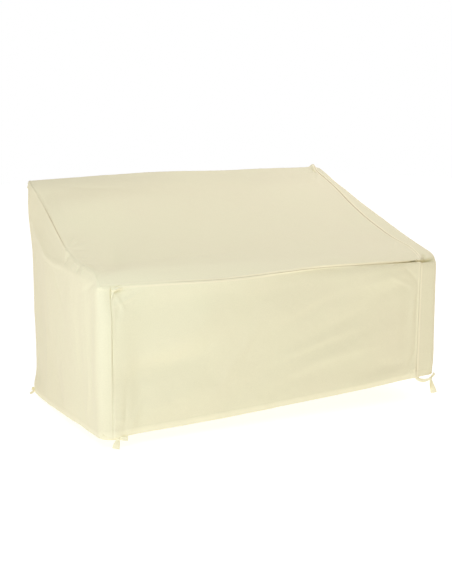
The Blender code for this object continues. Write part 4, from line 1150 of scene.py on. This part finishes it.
def coated_cloth(name, seams):
    """The coated plain weave. With seams, it follows the panels' own map and has their sewing. Without, for the
    tapes, it follows the object and is paler."""
    make = Maker(name)
    places = make.node("ShaderNodeTexCoord")
    on_object = places.outputs["Object"]
    grain = make.noise(on_object, 260.0, 3.0, 0.6)
    fibre = make.noise(on_object, 70.0, 4.0, 0.6)
    apart = make.node("ShaderNodeSeparateXYZ", {0: places.outputs["UV"] if seams else on_object})
    across, upward = apart.outputs[0], apart.outputs[1 if seams else 2]
    colour = plain_colour(make, on_object, grain)
    height = weave_relief(make, across, upward, grain, fibre)
    if seams:
        colour, height = sewn_lines(make, across, colour, height)
    else:
        colour = make.blend(0.8, colour, TAPE_CREAM)
    rough = make.ramp(fibre, (0.3, 0.7), 0.60, 0.72)
    bump = make.node("ShaderNodeBump", {"Height": height, "Strength": 1.0, "Distance": 1.0}).outputs[0]
    for socket, value in (("Base Color", colour), ("Roughness", rough), ("Normal", bump)):
        make.tree.links.new(value, make.shader.inputs[socket])
    make.shader.inputs["Specular IOR Level"].default_value = 0.35
    make.shader.inputs["Sheen Weight"].default_value = 0.08
    make.shader.inputs["Sheen Roughness"].default_value = 0.5
    return make.material


cover_cloth = coated_cloth("cover_cloth", True)
tie_tape = coated_cloth("tie_tape", False)
for name, piece in pieces.items():
    piece.data.materials.append(tie_tape if name in TIES else cover_cloth)
print("nodes in the cloth's finish:", len(cover_cloth.node_tree.nodes))

# %% [markdown]
# ## Floor and light
#
# The cover stands on a plain white floor in soft studio light. A light from the front left and a low one from
# the side make the round of the left corner the brightest place and let the front darken to the right. Two
# lights above give the slope its even tone, one at the right lights the shoulder's edge, and a pale surround
# fills the shadows. The lights are a little blue and the surround is warm, which leaves the hollows warmer
# than the cloth around them. Large lights give soft edges.

# %% Floor, lights and surround
FLOOR_Z = -0.010
FLOOR_CORNERS = ((-14, -10), (14, -10), (14, 22), (-14, 22))
GLOW_ENDS = (1.8, 4.5)  # the floor's own light grows between these distances from the cover
floor_mesh = bpy.data.meshes.new("floor")
floor_mesh.from_pydata([np.array((*corner, FLOOR_Z)) - SUPPORT for corner in FLOOR_CORNERS], [], [(0, 1, 2, 3)])
floor = bpy.data.objects.new("floor", floor_mesh)
bpy.context.scene.collection.objects.link(floor)
white = Maker("floor_white")
white.shader.inputs["Base Color"].default_value = (0.50, 0.50, 0.50, 1.0)
white.shader.inputs["Roughness"].default_value = 0.9
white.shader.inputs["Specular IOR Level"].default_value = 0.1
white.shader.inputs["Emission Color"].default_value = (1.0, 1.0, 1.0, 1.0)
on_floor = white.node("ShaderNodeTexCoord").outputs["Object"]
far_off = white.node("ShaderNodeVectorMath", {0: on_floor}, operation="LENGTH").outputs["Value"]
# The floor's glow is painted light: it lights the cloth from below and is weaker near the cover.
glow = white.ramp(far_off, GLOW_ENDS, 0.78, 0.95)
white.tree.links.new(glow, white.shader.inputs["Emission Strength"])
floor_mesh.materials.append(white.material)


def soft_light(name, place, at, size, power, colour):
    """A square area light at a place, its beam along the line to the point that it lights."""
    place, at = np.array(place) - SUPPORT, np.array(at) - SUPPORT
    backward = unit(place - at)
    across = unit(np.cross((0, 0, 1) if abs(backward[2]) < 0.99 else (0, 1, 0), backward))
    upward = np.cross(backward, across)
    light = bpy.data.objects.new(name, bpy.data.lights.new(name, "AREA"))
    light.data.shape = "SQUARE"
    light.data.size = size
    light.data.energy = power
    light.data.color = colour
    light.matrix_world = standing(across, upward, backward, place)
    bpy.context.scene.collection.objects.link(light)


# Each light: where it stands, the point that it lights, the length of its sides, its power and its colour.
LIGHTS = {
    "key_light": ((-1.5, -1.8, 1.5), (-0.4, -0.4, 0.5), 0.9, 12.4, (0.61, 0.83, 1.0)),
    "side_light": ((-3.2, -1.4, 0.5), (-0.5, -0.1, 0.4), 1.4, 15.9, (0.79, 0.82, 1.0)),
    "top_light": ((0.0, -0.4, 3.6), (0.0, 0.0, 0.5), 3.4, 45.2, (0.86, 0.92, 1.0)),
    "high_light": ((1.5, 0.5, 2.6), (0.3, 0.0, 0.7), 1.4, 8.1, (0.70, 0.71, 1.0)),
    "rim_light": ((2.8, 0.4, 1.9), (0.6, 0.0, 0.6), 1.4, 14.4, (1.0, 1.0, 1.0)),
}
for name, settings in LIGHTS.items():
    soft_light(name, *settings)
print("lights:", list(LIGHTS))

surround = bpy.data.worlds.new("surround")
surround.use_nodes = True
tree = surround.node_tree
seen = tree.nodes.new("ShaderNodeLightPath")
mix = tree.nodes.new("ShaderNodeMixShader")
lit, shown = tree.nodes["Background"], tree.nodes.new("ShaderNodeBackground")
lit.inputs["Color"].default_value = (1.0, 0.85, 0.72, 1.0)
lit.inputs["Strength"].default_value = 0.406
shown.inputs["Color"].default_value = (1.0, 1.0, 1.0, 1.0)
shown.inputs["Strength"].default_value = 1.0
tree.links.new(seen.outputs["Is Camera Ray"], mix.inputs[0])
tree.links.new(lit.outputs[0], mix.inputs[1])
tree.links.new(shown.outputs[0], mix.inputs[2])
tree.links.new(mix.outputs[0], tree.nodes["World Output"].inputs[0])
bpy.context.scene.world = surround
bpy.context.scene.view_settings.view_transform = "Standard"

# %% [markdown]
# ## What each piece stands for
#
# Each piece rides on the cover's one body and takes the place of its plain solid.

# %% Pieces, solids and flat sizes
# Piece: its solid, the flat cut (width, length) in metres, and the area of the shape cut from it.
STANDS_FOR = {
    "front_cloth": ("front_panel", (1.33, 0.56), 0.70),
    "slope_cloth": ("slope_panel", (1.40, 1.00), 1.34),
    "back_cloth": ("back_panel", (1.37, 0.90), 1.20),
    "side_cloth_left": ("side_panel_left", (0.98, 0.92), 0.71),
    "side_cloth_right": ("side_panel_right", (0.98, 0.96), 0.75),
}
for name, (solid, flat, area) in STANDS_FOR.items():
    piece = pieces[name]
    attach(piece, "root")
    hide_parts(solid)
for name in TIES:
    piece = pieces[name]
    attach(piece, "root")
    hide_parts("tie" + name[len("tapes"):])
    at_front = "front" in name
